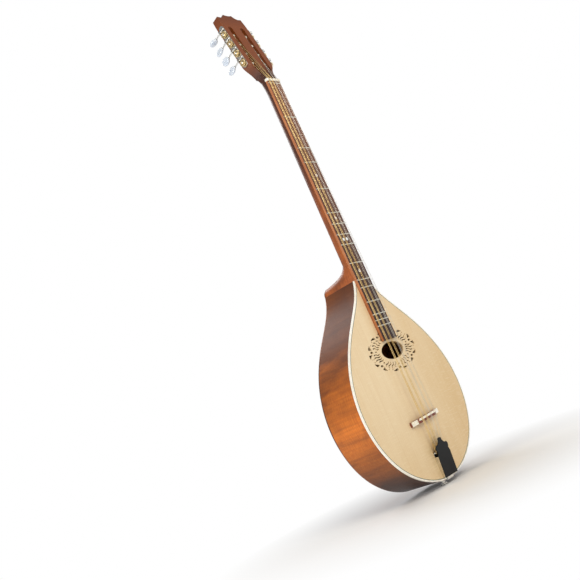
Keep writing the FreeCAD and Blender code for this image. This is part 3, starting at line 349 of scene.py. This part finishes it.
def bareWood():
    # Spruce and basswood inside the body, planed and left bare: dry, matt, a little dusty
    material, tree = newMaterial("bareWood")
    here = addNode(tree, "ShaderNodeTexCoord").outputs["Object"]
    fibreAt = addNode(tree, "ShaderNodeMapping", {"Vector": here, "Scale": (500, 500, 30)})
    fibre = addNode(tree, "ShaderNodeTexNoise", {"Vector": fibreAt, "Scale": 1.0, "Detail": 4.0})
    dust = addNode(tree, "ShaderNodeTexNoise", {"Vector": here, "Scale": 30.0, "Detail": 3.0})
    fibreMask = addNode(tree, "ShaderNodeMapRange", {"Value": fibre, "From Min": 0.3, "From Max": 0.7})
    base = addNode(tree, "ShaderNodeMix", {0: fibreMask, 6: "#c9a06a", 7: "#a67c4c"}, data_type="RGBA")
    dustMask = addNode(tree, "ShaderNodeMapRange", {
        "Value": dust, "From Min": 0.4, "From Max": 0.7, "To Max": 0.4})
    dusty = addNode(tree, "ShaderNodeMix", {0: dustMask, 6: base, 7: "#8a6540"}, data_type="RGBA")
    relief = addNode(tree, "ShaderNodeBump", {"Height": fibre, "Strength": 0.2, "Distance": 0.2 * mm})
    shader = addNode(tree, "ShaderNodeBsdfPrincipled", {
        "Base Color": dusty, "Roughness": 0.8, "Normal": relief})
    addNode(tree, "ShaderNodeOutputMaterial", {"Surface": shader})
    return material


# plastics, bone, metals

def ivoroid(name, light, dark, rough, grain=(40, 40, 3)):
    # Cast and polished plastic or bone: off-white with faint streaks, soft light inside it
    material, tree = newMaterial(name)
    here = addNode(tree, "ShaderNodeTexCoord").outputs["Object"]
    streakAt = addNode(tree, "ShaderNodeMapping", {"Vector": here, "Scale": grain})
    streak = addNode(tree, "ShaderNodeTexNoise", {
        "Vector": streakAt, "Scale": 6.0, "Detail": 3.0, "Distortion": 0.3})
    wear = addNode(tree, "ShaderNodeTexNoise", {"Vector": here, "Scale": 220.0, "Detail": 2.0})
    streakMask = addNode(tree, "ShaderNodeMapRange", {"Value": streak, "From Min": 0.35, "From Max": 0.7})
    color = addNode(tree, "ShaderNodeMix", {0: streakMask, 6: light, 7: dark}, data_type="RGBA")
    rubbed = addNode(tree, "ShaderNodeMapRange", {
        "Value": wear, "From Min": 0.3, "From Max": 0.7, "To Min": rough, "To Max": rough + 0.12})
    edge = addNode(tree, "ShaderNodeBevel", {"Radius": 0.25 * mm}, samples=bevelSamples)
    shader = addNode(tree, "ShaderNodeBsdfPrincipled", {
        "Base Color": color, "Roughness": rubbed, "Normal": edge, "Subsurface Weight": 0.12,
        "Subsurface Radius": (2 * mm, 1.5 * mm, 1 * mm), "Subsurface Scale": 1.0,
        "Coat Weight": 0.2, "Coat Roughness": 0.1})
    addNode(tree, "ShaderNodeOutputMaterial", {"Surface": shader})
    return material


def pearloid():
    # Pearl plastic, moulded and buffed: cloudy swirls of white and cool grey under a gloss
    material, tree = newMaterial("pearloid")
    here = addNode(tree, "ShaderNodeTexCoord").outputs["Object"]
    # swirls about 4 mm across, flakes about 1 mm
    swirl = addNode(tree, "ShaderNodeTexNoise", {
        "Vector": here, "Scale": 260.0, "Detail": 3.0, "Roughness": 0.6, "Distortion": 2.2})
    flake = addNode(tree, "ShaderNodeTexNoise", {
        "Vector": here, "Scale": 900.0, "Detail": 2.0, "Distortion": 1.0})
    swirlMask = addNode(tree, "ShaderNodeMapRange", {"Value": swirl, "From Min": 0.35, "From Max": 0.65})
    base = addNode(tree, "ShaderNodeMix", {0: swirlMask, 6: "#eef3f9", 7: "#b4c3d6"}, data_type="RGBA")
    flakeMask = addNode(tree, "ShaderNodeMapRange", {
        "Value": flake, "From Min": 0.5, "From Max": 0.7, "To Max": 0.35})
    color = addNode(tree, "ShaderNodeMix", {0: flakeMask, 6: base, 7: "#ffffff"}, data_type="RGBA")
    shader = addNode(tree, "ShaderNodeBsdfPrincipled", {
        "Base Color": color, "Roughness": 0.16, "Coat Weight": 0.6, "Coat Roughness": 0.05,
        "Subsurface Weight": 0.25, "Subsurface Radius": (3 * mm, 3 * mm, 3 * mm), "Subsurface Scale": 1.0,
        "Sheen Weight": 0.1, "Transmission Weight": 0.04})
    addNode(tree, "ShaderNodeOutputMaterial", {"Surface": shader})
    return material


def platedMetal(name, s):
    # Polished plate or wire: clear reflections, softened by fine rub marks and a little tarnish in patches
    material, tree = newMaterial(name)
    here = addNode(tree, "ShaderNodeTexCoord").outputs["Object"]
    # rub marks about 0.7 mm apart
    rub = addNode(tree, "ShaderNodeTexNoise", {
        "Vector": here, "Scale": 1400.0, "Detail": 3.0, "Roughness": 0.6})
    patch = addNode(tree, "ShaderNodeTexNoise", {
        "Vector": here, "Scale": 90.0, "Detail": 3.0, "Roughness": 0.55, "Distortion": 0.5})
    tarnish = addNode(tree, "ShaderNodeMapRange", {
        "Value": patch, "From Min": 0.48, "From Max": 0.75, "To Max": s["tarnish"]})
    color = addNode(tree, "ShaderNodeMix", {0: tarnish, 6: s["color"], 7: s["dull"]}, data_type="RGBA")
    rough = addNode(tree, "ShaderNodeMapRange", {
        "Value": patch, "From Min": 0.3, "From Max": 0.75, "To Min": s["rough"], "To Max": s["rough"] + 0.16})
    edge = addNode(tree, "ShaderNodeBevel", {"Radius": s["edge"]}, samples=bevelSamples)
    relief = addNode(tree, "ShaderNodeBump", {
        "Height": rub, "Strength": 0.05, "Distance": 0.05 * mm, "Normal": edge})
    shader = addNode(tree, "ShaderNodeBsdfPrincipled", {
        "Base Color": color, "Metallic": 1.0, "Roughness": rough, "Normal": relief})
    addNode(tree, "ShaderNodeOutputMaterial", {"Surface": shader})
    return material


def blackLacquer():
    # Stoved black enamel on sheet steel: deep, slightly orange-peeled, dust-rubbed
    material, tree = newMaterial("blackLacquer")
    here = addNode(tree, "ShaderNodeTexCoord").outputs["Object"]
    # orange peel about 2 mm across
    peel = addNode(tree, "ShaderNodeTexNoise", {"Vector": here, "Scale": 500.0, "Detail": 2.0})
    haze = addNode(tree, "ShaderNodeTexNoise", {"Vector": here, "Scale": 60.0, "Detail": 3.0})
    hazeMask = addNode(tree, "ShaderNodeMapRange", {"Value": haze, "From Min": 0.4, "From Max": 0.7})
    color = addNode(tree, "ShaderNodeMix", {0: hazeMask, 6: "#08090b", 7: "#0f1013"}, data_type="RGBA")
    rough = addNode(tree, "ShaderNodeMapRange", {
        "Value": haze, "From Min": 0.3, "From Max": 0.7, "To Min": 0.5, "To Max": 0.62})
    edge = addNode(tree, "ShaderNodeBevel", {"Radius": 0.3 * mm}, samples=bevelSamples)
    relief = addNode(tree, "ShaderNodeBump", {
        "Height": peel, "Strength": 0.06, "Distance": 0.1 * mm, "Normal": edge})
    shader = addNode(tree, "ShaderNodeBsdfPrincipled", {
        "Base Color": color, "Roughness": rough, "Specular IOR Level": 0.3, "Normal": relief})
    addNode(tree, "ShaderNodeOutputMaterial", {"Surface": shader})
    return material


def stringMetal(name, light, dark):
    # Drawn or tightly wound wire: a soft bright line, dulled where fingers have been
    material, tree = newMaterial(name)
    here = addNode(tree, "ShaderNodeTexCoord").outputs["Object"]
    finger = addNode(tree, "ShaderNodeTexNoise", {"Vector": here, "Scale": 14.0, "Detail": 2.0})
    fingerMask = addNode(tree, "ShaderNodeMapRange", {"Value": finger, "From Min": 0.45, "From Max": 0.75})
    color = addNode(tree, "ShaderNodeMix", {0: fingerMask, 6: light, 7: dark}, data_type="RGBA")
    rough = addNode(tree, "ShaderNodeMapRange", {
        "Value": finger, "From Min": 0.3, "From Max": 0.7, "To Min": 0.36, "To Max": 0.46})
    shader = addNode(tree, "ShaderNodeBsdfPrincipled", {
        "Base Color": color, "Metallic": 0.85, "Roughness": rough})
    addNode(tree, "ShaderNodeOutputMaterial", {"Surface": shader})
    return material


fretWire = {"color": "#d8d3c4", "dull": "#a79f8c", "rough": 0.2, "tarnish": 0.4, "edge": 0.2 * mm}
nickelPlate = {"color": "#e4e2dc", "dull": "#b3aea2", "rough": 0.12, "tarnish": 0.4, "edge": 0.25 * mm}
gearBrass = {"color": "#f0d7a2", "dull": "#b48a4c", "rough": 0.2, "tarnish": 0.5, "edge": 0.25 * mm}
look = {
    "spruce": spruceTop(spruceSettings),
    "purfling": ivoroid("purflingWood", "#5a6656", "#39453a", 0.4),
    "binding": ivoroid("bindingPlastic", "#fbf8ee", "#efe8d6", 0.2),
    "inner_wood": bareWood(),
    "fret_metal": platedMetal("fretWire", fretWire),
    "pearl": ivoroid("dotPearl", "#ffffff", "#dfe6ea", 0.14, (200, 200, 200)),
    "bone": ivoroid("bone", "#fbf7ea", "#eadfc6", 0.22, (90, 90, 8)),
    "nickel": platedMetal("nickelPlate", nickelPlate),
    "wound_bronze": stringMetal("woundBronze", "#f2d596", "#d0aa66"),
    "steel": stringMetal("plainSteel", "#e6e0d2", "#bdb7aa"),
    "black_lacquer": blackLacquer(),
    "button": pearloid(),
    "roller": ivoroid("rollerPlastic", "#f4efe0", "#ddd3bb", 0.25),
    "gear_brass": platedMetal("gearBrass", gearBrass),
}
sideMaple = stainedMaple("sideMaple", sideWood)
special = {
    "side_left": sideMaple, "side_right": sideMaple,
    "back_plate": stainedMaple("backMaple", backWood),
    "neck": stainedMaple("neckMaple", neckWood),
    "fretboard": rosewood("fretboardWood", fretboardSettings),
    "bridge_base": rosewood("bridgeRosewood", bridgeSettings),
}
slotOf = {entry["node"]: entry["material_slot"] for entry in frame["record"]["subparts"]}


def dress(piece, material):
    piece.data.materials.clear()
    piece.data.materials.append(material)


for name, piece in nodes.items():
    dress(piece, special.get(name) or look[slotOf[name]])
print("materials done")


# meshes drawn in a local frame and set in place

def meshPiece(name, verts, faces, material, body, place=None, smooth=True):
    mesh = bpy.data.meshes.new(name)
    mesh.from_pydata([tuple(v) for v in verts], [], faces)
    mesh.validate()
    if place is not None:
        mesh.transform(place)
    if smooth:
        mesh.shade_smooth()
    piece = bpy.data.objects.new(name, mesh)
    bpy.context.scene.collection.objects.link(piece)
    mesh.materials.append(material)
    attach(piece, body)
    return piece


def recalc(piece):
    work = bmesh.new()
    work.from_mesh(piece.data)
    bmesh.ops.recalc_face_normals(work, faces=work.faces)
    work.to_mesh(piece.data)
    work.free()
    return piece


def ringFaces(rings, count, closeEnds=True, wrapRings=False):
    # quads between rings of equal length, and a flat cap at each end
    faces = []
    last = rings if wrapRings else rings - 1
    for i in range(last):
        a, b = i * count, ((i + 1) % rings) * count
        for k in range(count):
            m = (k + 1) % count
            faces.append((a + k, a + m, b + m, b + k))
    if closeEnds and not wrapRings:
        faces.append(tuple(range(count))[::-1])
        faces.append(tuple((rings - 1) * count + k for k in range(count)))
    return faces


def lathe(profile, count=32):
    # profile of (radius, height) turned about local Z
    verts = []
    for radius, height in profile:
        for k in range(count):
            angle = 2 * math.pi * k / count
            verts.append((radius * math.cos(angle), radius * math.sin(angle), height))
    return verts, ringFaces(len(profile), count)


def tube(points, radius, count=10, closed=False):
    # a round wire along a polyline, its section carried along without twisting
    verts = []
    total = len(points)
    side = None
    for i, p in enumerate(points):
        before = points[i - 1] if (i > 0 or closed) else p
        after = points[(i + 1) % total] if (i < total - 1 or closed) else p
        along = (after - before).normalized()
        if side is None:
            side = along.orthogonal().normalized()
        side = (side - along * side.dot(along)).normalized()
        up = along.cross(side)
        size = radius(i / (total - 1)) if callable(radius) else radius
        for k in range(count):
            angle = 2 * math.pi * k / count
            verts.append(p + side * size * math.cos(angle) + up * size * math.sin(angle))
    return verts, ringFaces(total, count, True, closed)


def frameAt(origin, xAxis, yAxis, zAxis):
    turn = Matrix((xAxis, yAxis, zAxis)).transposed().to_4x4()
    return Matrix.Translation(origin) @ turn


# tuners: each one stands on its joints, out of the headstock's face is local Z

joints = {j["name"]: j for j in frame["joints"]}
faceOut = Vector(joints["turn_button_left_1"]["axis"]).normalized()
sideways = Vector((1, 0, 0))
upHead = faceOut.cross(sideways).normalized()
tunerPlace = {
    "shaftRadius": 1.5 * mm, "wormRadius": 2.3 * mm, "wormLength": 8.0 * mm, "pitch": 2.5 * mm,
    "frontEnd": 7.7 * mm, "backEnd": -24.5 * mm, "buttonStart": -19.5 * mm, "buttonLength": 18.0 * mm,
    "buttonWidth": 14.5 * mm, "buttonThickness": 6.0 * mm, "turns": (12, -8, 18, 90),
    "earRoom": 4.3 * mm, "earThickness": 1.4 * mm, "threadDepth": 0.62 * mm, "threadRunOut": 0.9 * mm,
    "sides": 28, "pin": 0.02 * mm,
}
gearSizes = {
    "teeth": 14, "tip": 6.5 * mm, "root": 5.3 * mm, "thickness": 2.6 * mm, "brokenEdge": 0.18 * mm,
    "webDepth": 0.5 * mm, "rimRadius": 4.3 * mm, "webRadius": 4.0 * mm, "hubFoot": 2.9 * mm,
    "hubRadius": 2.7 * mm, "arborRadius": 0.3 * mm,
    "flank": (0.0, 0.0, 0.45, 0.92, 1.0, 0.92, 0.45, 0.0),
}
rollerSizes = {
    "innerEnd": 5.5 * mm, "gearSide": 35.05 * mm, "slotIn": 10.6 * mm, "slotOut": 20.4 * mm,
    "radius": 3.0 * mm, "bore": 1.9 * mm, "journal": 2.0 * mm, "waist": 0.35 * mm,
    "pin": 0.02 * mm, "sides": 32,
    "headRadius": 2.2 * mm, "headStart": 2.6 * mm, "headSides": 40,
    "driverSlot": 0.64 * mm, "driverDepth": 0.6 * mm,
}


def wormThread(tag, place, s):
    # rolled worm: one trapezoid thread, run out at both ends, on a polished shaft with a rounded nose
    half = s["wormLength"] / 2
    rings, count = 110, s["sides"]
    root = s["wormRadius"] - s["threadDepth"]
    verts = []
    for i in range(rings):
        z = -half + 2 * half * i / (rings - 1)
        fade = min(1.0, (half - abs(z)) / s["threadRunOut"])
        for k in range(count):
            angle = 2 * math.pi * k / count
            phase = (z / s["pitch"] - k / count) % 1.0
            crest = min(1.0, max(0.0, 2.1 - abs(phase - 0.5) * 7.0))
            r = root + (s["wormRadius"] - root) * crest * fade
            verts.append((r * math.cos(angle), r * math.sin(angle), z))
    faces = ringFaces(rings, count)
    thread = meshPiece("wormThread_" + tag, verts, faces, look["nickel"], "peg_" + tag, place)
    r = s["shaftRadius"]
    front, back = s["frontEnd"], s["backEnd"]
    low = -s["earRoom"] - s["earThickness"]
    profile = [
        (s["pin"], front), (r * 0.55, front), (r * 0.9, front - 0.25 * mm), (r, front - 0.6 * mm),
        (r, s["earRoom"] - 0.3 * mm), (r * 1.25, s["earRoom"] - 0.32 * mm), (r * 1.25, half), (root, half),
        (root, -half), (r * 1.25, -half), (r * 1.25, -s["earRoom"] + 0.32 * mm),
        (r, -s["earRoom"] + 0.3 * mm),
        (r, low - 0.2 * mm), (s["wormRadius"], low - 0.3 * mm), (s["wormRadius"], low - 1.1 * mm),
        (r * 1.15, low - 1.7 * mm), (r, low - 2.2 * mm), (r, back + 0.3 * mm), (s["pin"], back),
    ]
    verts, faces = lathe(profile, s["sides"])
    shaft = recalc(meshPiece("wormShaft_" + tag, verts, faces, look["nickel"], "peg_" + tag, place, False))
    shaft.data.shade_smooth()
    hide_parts("worm_" + tag)
    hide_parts("worm_" + tag)


def buttonGrip(tag, place, s, degrees):
    # oval paddle with flattened faces and a rolled rim, on a ferrule of the same pearl plastic
    length, width, thick = s["buttonLength"] / 2, s["buttonWidth"] / 2, s["buttonThickness"] / 2
    middle = s["buttonStart"] - length
    rings, count = 34, 44
    turn = math.radians(degrees)
    verts = []
    for i in range(rings):
        slope = math.pi * (i + 0.5) / rings
        for k in range(count):
            angle = 2 * math.pi * k / count
            z = length * math.cos(slope)
            oval = math.copysign(abs(math.cos(angle)) ** 0.85, math.cos(angle))
            flat = math.copysign(abs(math.sin(angle)) ** 0.62, math.sin(angle))
            y = width * math.sin(slope) ** 0.92 * oval
            reach = math.hypot(z / length, y / width)
            # a shallow dish in each face, a fuller rim
            dish = 0.80 + 0.20 * min(1.0, reach / 0.72) ** 2
            x = thick * dish * math.sin(slope) ** 0.42 * flat
            turned = (x * math.cos(turn) - y * math.sin(turn), x * math.sin(turn) + y * math.cos(turn))
            verts.append((*turned, middle + z))
    faces = ringFaces(rings, count)
    grip = recalc(meshPiece("grip_" + tag, verts, faces, look["button"], "peg_" + tag, place))
    r = s["shaftRadius"]
    start = s["buttonStart"]
    profile = [
        (s["pin"], start + 1.0 * mm), (r + 0.5 * mm, start + 1.0 * mm), (r + 1.0 * mm, start + 0.5 * mm),
        (r + 1.4 * mm, start - 0.6 * mm), (r + 1.4 * mm, start - 2.0 * mm), (r + 0.9 * mm, start - 2.6 * mm),
        (s["pin"], start - 2.8 * mm),
    ]
    verts, faces = lathe(profile, s["sides"])
    ferrule = recalc(meshPiece("ferrule_" + tag, verts, faces, look["button"], "peg_" + tag, place))
    for piece in (grip, ferrule):
        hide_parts("button_" + tag)


def gearWheel(tag, place, s):
    # cut brass wheel: rounded teeth, broken edges, a dished web and a hub
    teeth, thick, broken = s["teeth"], s["thickness"], s["brokenEdge"]
    perTooth = len(s["flank"])
    count = teeth * perTooth

    def ring(height, pull, flat=None):
        out = []
        for k in range(count):
            tooth, step = divmod(k, perTooth)
            angle = 2 * math.pi * (tooth + step / perTooth + 0.5 + 0.5 / perTooth) / teeth
            r = flat if flat is not None else s["root"] + (s["tip"] - s["root"]) * s["flank"][step] - pull
            out.append((r * math.cos(angle), r * math.sin(angle), height))
        return out

    rings = [
        ring(0.0, broken), ring(broken, 0.0), ring(thick - broken, 0.0), ring(thick, broken),
        ring(thick, 0, s["rimRadius"]), ring(thick - s["webDepth"], 0, s["webRadius"]),
        ring(thick - s["webDepth"], 0, s["hubFoot"]), ring(thick, 0, s["hubRadius"]),
        ring(thick, 0, s["arborRadius"]),
    ]
    verts = [v for r in rings for v in r]
    faces = ringFaces(len(rings), count)
    wheel = recalc(meshPiece("wheel_" + tag, verts, faces, look["gear_brass"], "post_" + tag, place, False))
    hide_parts("gear_" + tag)


def rollerPost(tag, place, s):
    # turned post: steel journal ends, a pale sleeve across the slot, and the screw that holds the gear
    inner, gearSide, slotIn, slotOut = s["innerEnd"], s["gearSide"], s["slotIn"], s["slotOut"]
    r, bore, waist, count = s["radius"], s["bore"], s["radius"] - s["waist"], s["sides"]
    sleeve = [
        (bore, slotIn), (r - 0.15 * mm, slotIn), (r, slotIn + 0.3 * mm), (r, slotIn + 1.4 * mm),
        (waist, slotIn + 2.0 * mm), (waist, slotOut - 2.0 * mm), (r, slotOut - 1.4 * mm),
        (r, slotOut - 0.3 * mm), (r - 0.15 * mm, slotOut), (bore, slotOut),
    ]
    core = [
        (s["pin"], inner), (s["journal"] - 0.3 * mm, inner), (s["journal"], inner + 0.3 * mm),
        (s["journal"], slotOut + 0.2 * mm), (r - 0.3 * mm, slotOut + 0.5 * mm), (r, slotOut + 0.9 * mm),
        (r, gearSide), (s["pin"], gearSide),
    ]
    for label, profile, slotName in (("sleeve_", sleeve, "roller"), ("core_", core, "nickel")):
        verts, faces = lathe(profile, count)
        if profile is sleeve:
            # the sleeve is open: its two end caps give way to the wall of its bore
            last = (len(profile) - 1) * count
            nextTo = [(k + 1) % count for k in range(count)]
            faces = faces[:-2] + [(last + k, last + nextTo[k], nextTo[k], k) for k in range(count)]
        piece = recalc(meshPiece(label + tag, verts, faces, look[slotName], "post_" + tag, place))
        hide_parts("roller_" + tag)
    # screw head: domed, with a driver slot cut through it
    head, top = s["headRadius"], gearSide + s["headStart"]
    verts = []
    levels = [
        (head, 0.0, False), (head, 0.7 * mm, False), (head * 0.93, 1.05 * mm, True),
        (head * 0.7, 1.24 * mm, True), (head * 0.4, 1.3 * mm, True), (0.05 * mm, 1.3 * mm, True),
    ]
    for radius, height, cut in levels:
        for k in range(s["headSides"]):
            angle = 2 * math.pi * k / s["headSides"]
            x, y = radius * math.cos(angle), radius * math.sin(angle)
            z = height - (s["driverDepth"] if cut and abs(y) < s["driverSlot"] / 2 else 0.0)
            verts.append((x, y, top + z))
    faces = ringFaces(len(levels), s["headSides"])
    piece = recalc(meshPiece("gearScrew_" + tag, verts, faces, look["nickel"], "post_" + tag, place, False))
    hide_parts("roller_" + tag)


for hand, sign in (("left", -1), ("right", 1)):
    for n in range(4):
        tag = hand + "_" + str(n + 1)
        pegAt = Vector(joints["turn_button_" + tag]["pos_m"])
        postAt = Vector(joints["turn_roller_" + tag]["pos_m"])
        pegPlace = frameAt(pegAt, sideways, upHead, faceOut)
        wormThread(tag, pegPlace, tunerPlace)
        buttonGrip(tag, pegPlace, tunerPlace, tunerPlace["turns"][n] * sign)
        outward = sideways * sign
        postAt.x = 0
        postPlace = frameAt(postAt, faceOut, outward.cross(faceOut), outward)
        rollerPost(tag, postPlace, rollerSizes)
        gearAt = postAt + outward * rollerSizes["gearSide"]
        gearWheel(tag, frameAt(gearAt, faceOut, outward.cross(faceOut), outward), gearSizes)
print("tuners done")


# strings

stringSet = {
    "radii": (0.5, 0.42, 0.3, 0.22), "slots": ("wound_bronze", "wound_bronze", "steel", "steel"),
    "hookSpacing": (7.6, 3.4), "saddleSpacing": (13.0, 3.0), "nutSpacing": (8.0, 2.4),
    "hookY": -55.0, "hookRadius": 1.15, "hookZ": 4.0, "twistLength": 13.0, "twistTurns": 7,
    "saddleY": 4.35, "saddleShift": -1.2, "saddleSlope": math.tan(math.radians(2.5)), "saddleTop": 12.06,
    "zeroY": 650.0, "fretTop": 7.02, "nutBackY": 659.5, "nutDrop": 0.35,
    "rollerX": (17.5, 16.1, 16.1, 16.1), "sleeveRadius": 2.65, "coils": 3.3, "coilGap": 0.03,
    "loopSteps": 25, "twistSteps": 12, "coilSteps": 24, "twistStart": 0.4,
    "originZ": -17.0, "originY": 103.95,
}


def bench(x, y, z):
    # instrument lying on its back, in millimetres: across, along the neck, out of the soundboard
    return Vector((x * mm, (stringSet["originZ"] - z) * mm, (y + stringSet["originY"]) * mm))


def stringAcross(course, member, spacing):
    return (course - 1.5) * spacing[0] + (member - 0.5) * spacing[1]


def stringWire(course, member, s):
    # loop round its hook, twisted tail, straight run over saddle and nut, coils on the roller
    r = s["radii"][course]
    number = 2 * course + member
    sign = -1 if number < 4 else 1
    order = number if number < 4 else 7 - number
    tag = ("left_" if sign < 0 else "right_") + str(order + 1)
    label = str(course + 1) + "_" + str(member + 1)
    material, slotName = look[s["slots"][course]], s["slots"][course]
    node = "string_course_" + str(course + 1)
    saddleX = stringAcross(course, member, s["saddleSpacing"])
    nutX = stringAcross(course, member, s["nutSpacing"])
    hook = bench(stringAcross(course, member, s["hookSpacing"]), s["hookY"], s["hookZ"])
    saddleY = s["saddleY"] + (saddleX - s["saddleShift"]) * s["saddleSlope"]
    saddle = bench(saddleX, saddleY, s["saddleTop"] + r)
    zero = bench(nutX, s["zeroY"], s["fretTop"] + r)
    nutBack = bench(nutX, s["nutBackY"], s["fretTop"] + r - s["nutDrop"])
    post = Vector(joints["turn_roller_" + tag]["pos_m"])
    post.x = sign * s["rollerX"][order] * mm
    coilRadius = (s["sleeveRadius"] + r) * mm
    top = post + faceOut * coilRadius
    along = (saddle - hook).normalized()
    loopRadius = (s["hookRadius"] + r) * mm
    start = hook + along * loopRadius
    pieces = []
    verts, faces = tube([start, saddle, zero, nutBack, top], r * mm, 12)
    pieces.append(recalc(meshPiece("string_" + label, verts, faces, material, "instrument")))
    across = along.cross(faceOut).normalized()
    loop = []
    for i in range(s["loopSteps"]):
        angle = 2 * math.pi * (i + 0.5) / s["loopSteps"]
        loop.append(hook + along * loopRadius * math.cos(angle) + across * loopRadius * math.sin(angle))
    verts, faces = tube(loop, r * 0.8 * mm, 8, True)
    pieces.append(recalc(meshPiece("stringLoop_" + label, verts, faces, material, "instrument")))
    over = across.cross(along).normalized()
    twist = []
    steps = s["twistTurns"] * s["twistSteps"]
    for i in range(steps + 1):
        angle = 2 * math.pi * i / s["twistSteps"]
        spot = start + along * (s["twistStart"] + s["twistLength"] * i / steps) * mm
        twist.append(spot + (across * math.cos(angle) + over * math.sin(angle)) * r * 1.75 * mm)
    verts, faces = tube(twist, r * 0.75 * mm, 7)
    pieces.append(recalc(meshPiece("stringTwist_" + label, verts, faces, look["wound_bronze"], "instrument")))
    coil = []
    steps = int(s["coils"] * s["coilSteps"])
    for i in range(steps + 1):
        angle = 2 * math.pi * i / s["coilSteps"]
        spot = post + sideways * sign * (2 * r + s["coilGap"]) * mm * (i / s["coilSteps"])
        coil.append(spot + (faceOut * math.cos(angle) + upHead * math.sin(angle)) * coilRadius)
    verts, faces = tube(coil, r * mm, 9)
    pieces.append(recalc(meshPiece("stringCoil_" + label, verts, faces, material, "post_" + tag)))
    for piece in pieces[:3]:
        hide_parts(node)


for course in range(4):
    for member in (0, 1):
        stringWire(course, member, stringSet)
print("strings done")


# floor and light

floorSettings = {
    "side": 14, "gap": 0.4 * mm, "grey": "#fafafa", "white": "#ffffff", "rough": 0.7,
    "shadowEnds": 0.1, "whiteFrom": 0.42,
}


def makeFloor(s):
    # flat paper floor: matt white, and plain white light beyond the shadow's reach so that no horizon shows
    bpy.ops.mesh.primitive_plane_add(size=s["side"], location=(0, 0, cadBox[0][2] - s["gap"]))
    floor = bpy.context.object
    floor.name = "floor"
    material, tree = newMaterial("paperSweep")
    here = addNode(tree, "ShaderNodeTexCoord").outputs["Object"]
    tone = addNode(tree, "ShaderNodeTexNoise", {"Vector": here, "Scale": 4.0, "Detail": 3.0})
    color = addNode(tree, "ShaderNodeMix", {0: tone, 6: s["grey"], 7: s["white"]}, data_type="RGBA")
    paper = addNode(tree, "ShaderNodeBsdfPrincipled", {"Base Color": color, "Roughness": s["rough"]})
    away = addNode(tree, "ShaderNodeVectorMath", {0: here}, operation="LENGTH")
    fade = addNode(tree, "ShaderNodeMapRange", {
        "Value": away, "From Min": s["shadowEnds"], "From Max": s["whiteFrom"]})
    glow = addNode(tree, "ShaderNodeEmission", {"Color": s["white"], "Strength": 1.0})
    pick = addNode(tree, "ShaderNodeMixShader", {0: fade, 1: paper, 2: glow})
    addNode(tree, "ShaderNodeOutputMaterial", {"Surface": pick})
    dress(floor, material)


lights = [
    {"name": "key", "place": (-0.9, -2.3, 1.9), "aim": (0, 0, 0.35), "size": 1.6, "watts": 44,
     "color": "#fff6e6"},
    {"name": "side", "place": (-2.4, 0.3, 0.9), "aim": (0, 0, 0.3), "size": 0.9, "watts": 22,
     "color": "#ffffff"},
    {"name": "fill", "place": (2.2, -1.6, 1.2), "aim": (0, 0, 0.4), "size": 2.0, "watts": 10,
     "color": "#f5f9ff"},
    {"name": "rim", "place": (0.6, 2.0, 2.0), "aim": (0, 0, 0.5), "size": 1.4, "watts": 18,
     "color": "#ffffff"},
]
worldSettings = {"color": "#ffffff", "lightStrength": 0.3, "seenStrength": 1.0}


def makeLight(s):
    data = bpy.data.lights.new(s["name"], "AREA")
    data.shape = "SQUARE"
    data.size = s["size"]
    data.energy = s["watts"]
    data.color = srgb(s["color"])[:3]
    lamp = bpy.data.objects.new(s["name"], data)
    bpy.context.scene.collection.objects.link(lamp)
    lamp.location = s["place"]
    lamp.rotation_euler = (Vector(s["aim"]) - Vector(s["place"])).to_track_quat("-Z", "Y").to_euler()


def makeWorld(s):
    # soft white room: weak as light, full white where the camera sees it
    world = bpy.data.worlds.new("studio")
    bpy.context.scene.world = world
    world.use_nodes = True
    tree = world.node_tree
    tree.nodes.clear()
    back = addNode(tree, "ShaderNodeBackground", {"Color": s["color"], "Strength": s["lightStrength"]})
    seen = addNode(tree, "ShaderNodeBackground", {"Color": s["color"], "Strength": s["seenStrength"]})
    ray = addNode(tree, "ShaderNodeLightPath").outputs["Is Camera Ray"]
    pick = addNode(tree, "ShaderNodeMixShader", {0: ray, 1: back, 2: seen})
    addNode(tree, "ShaderNodeOutputWorld", {"Surface": pick})


makeFloor(floorSettings)
for entry in lights:
    makeLight(entry)
makeWorld(worldSettings)
bpy.context.scene.view_settings.view_transform = "Standard"
print("floor and light done")
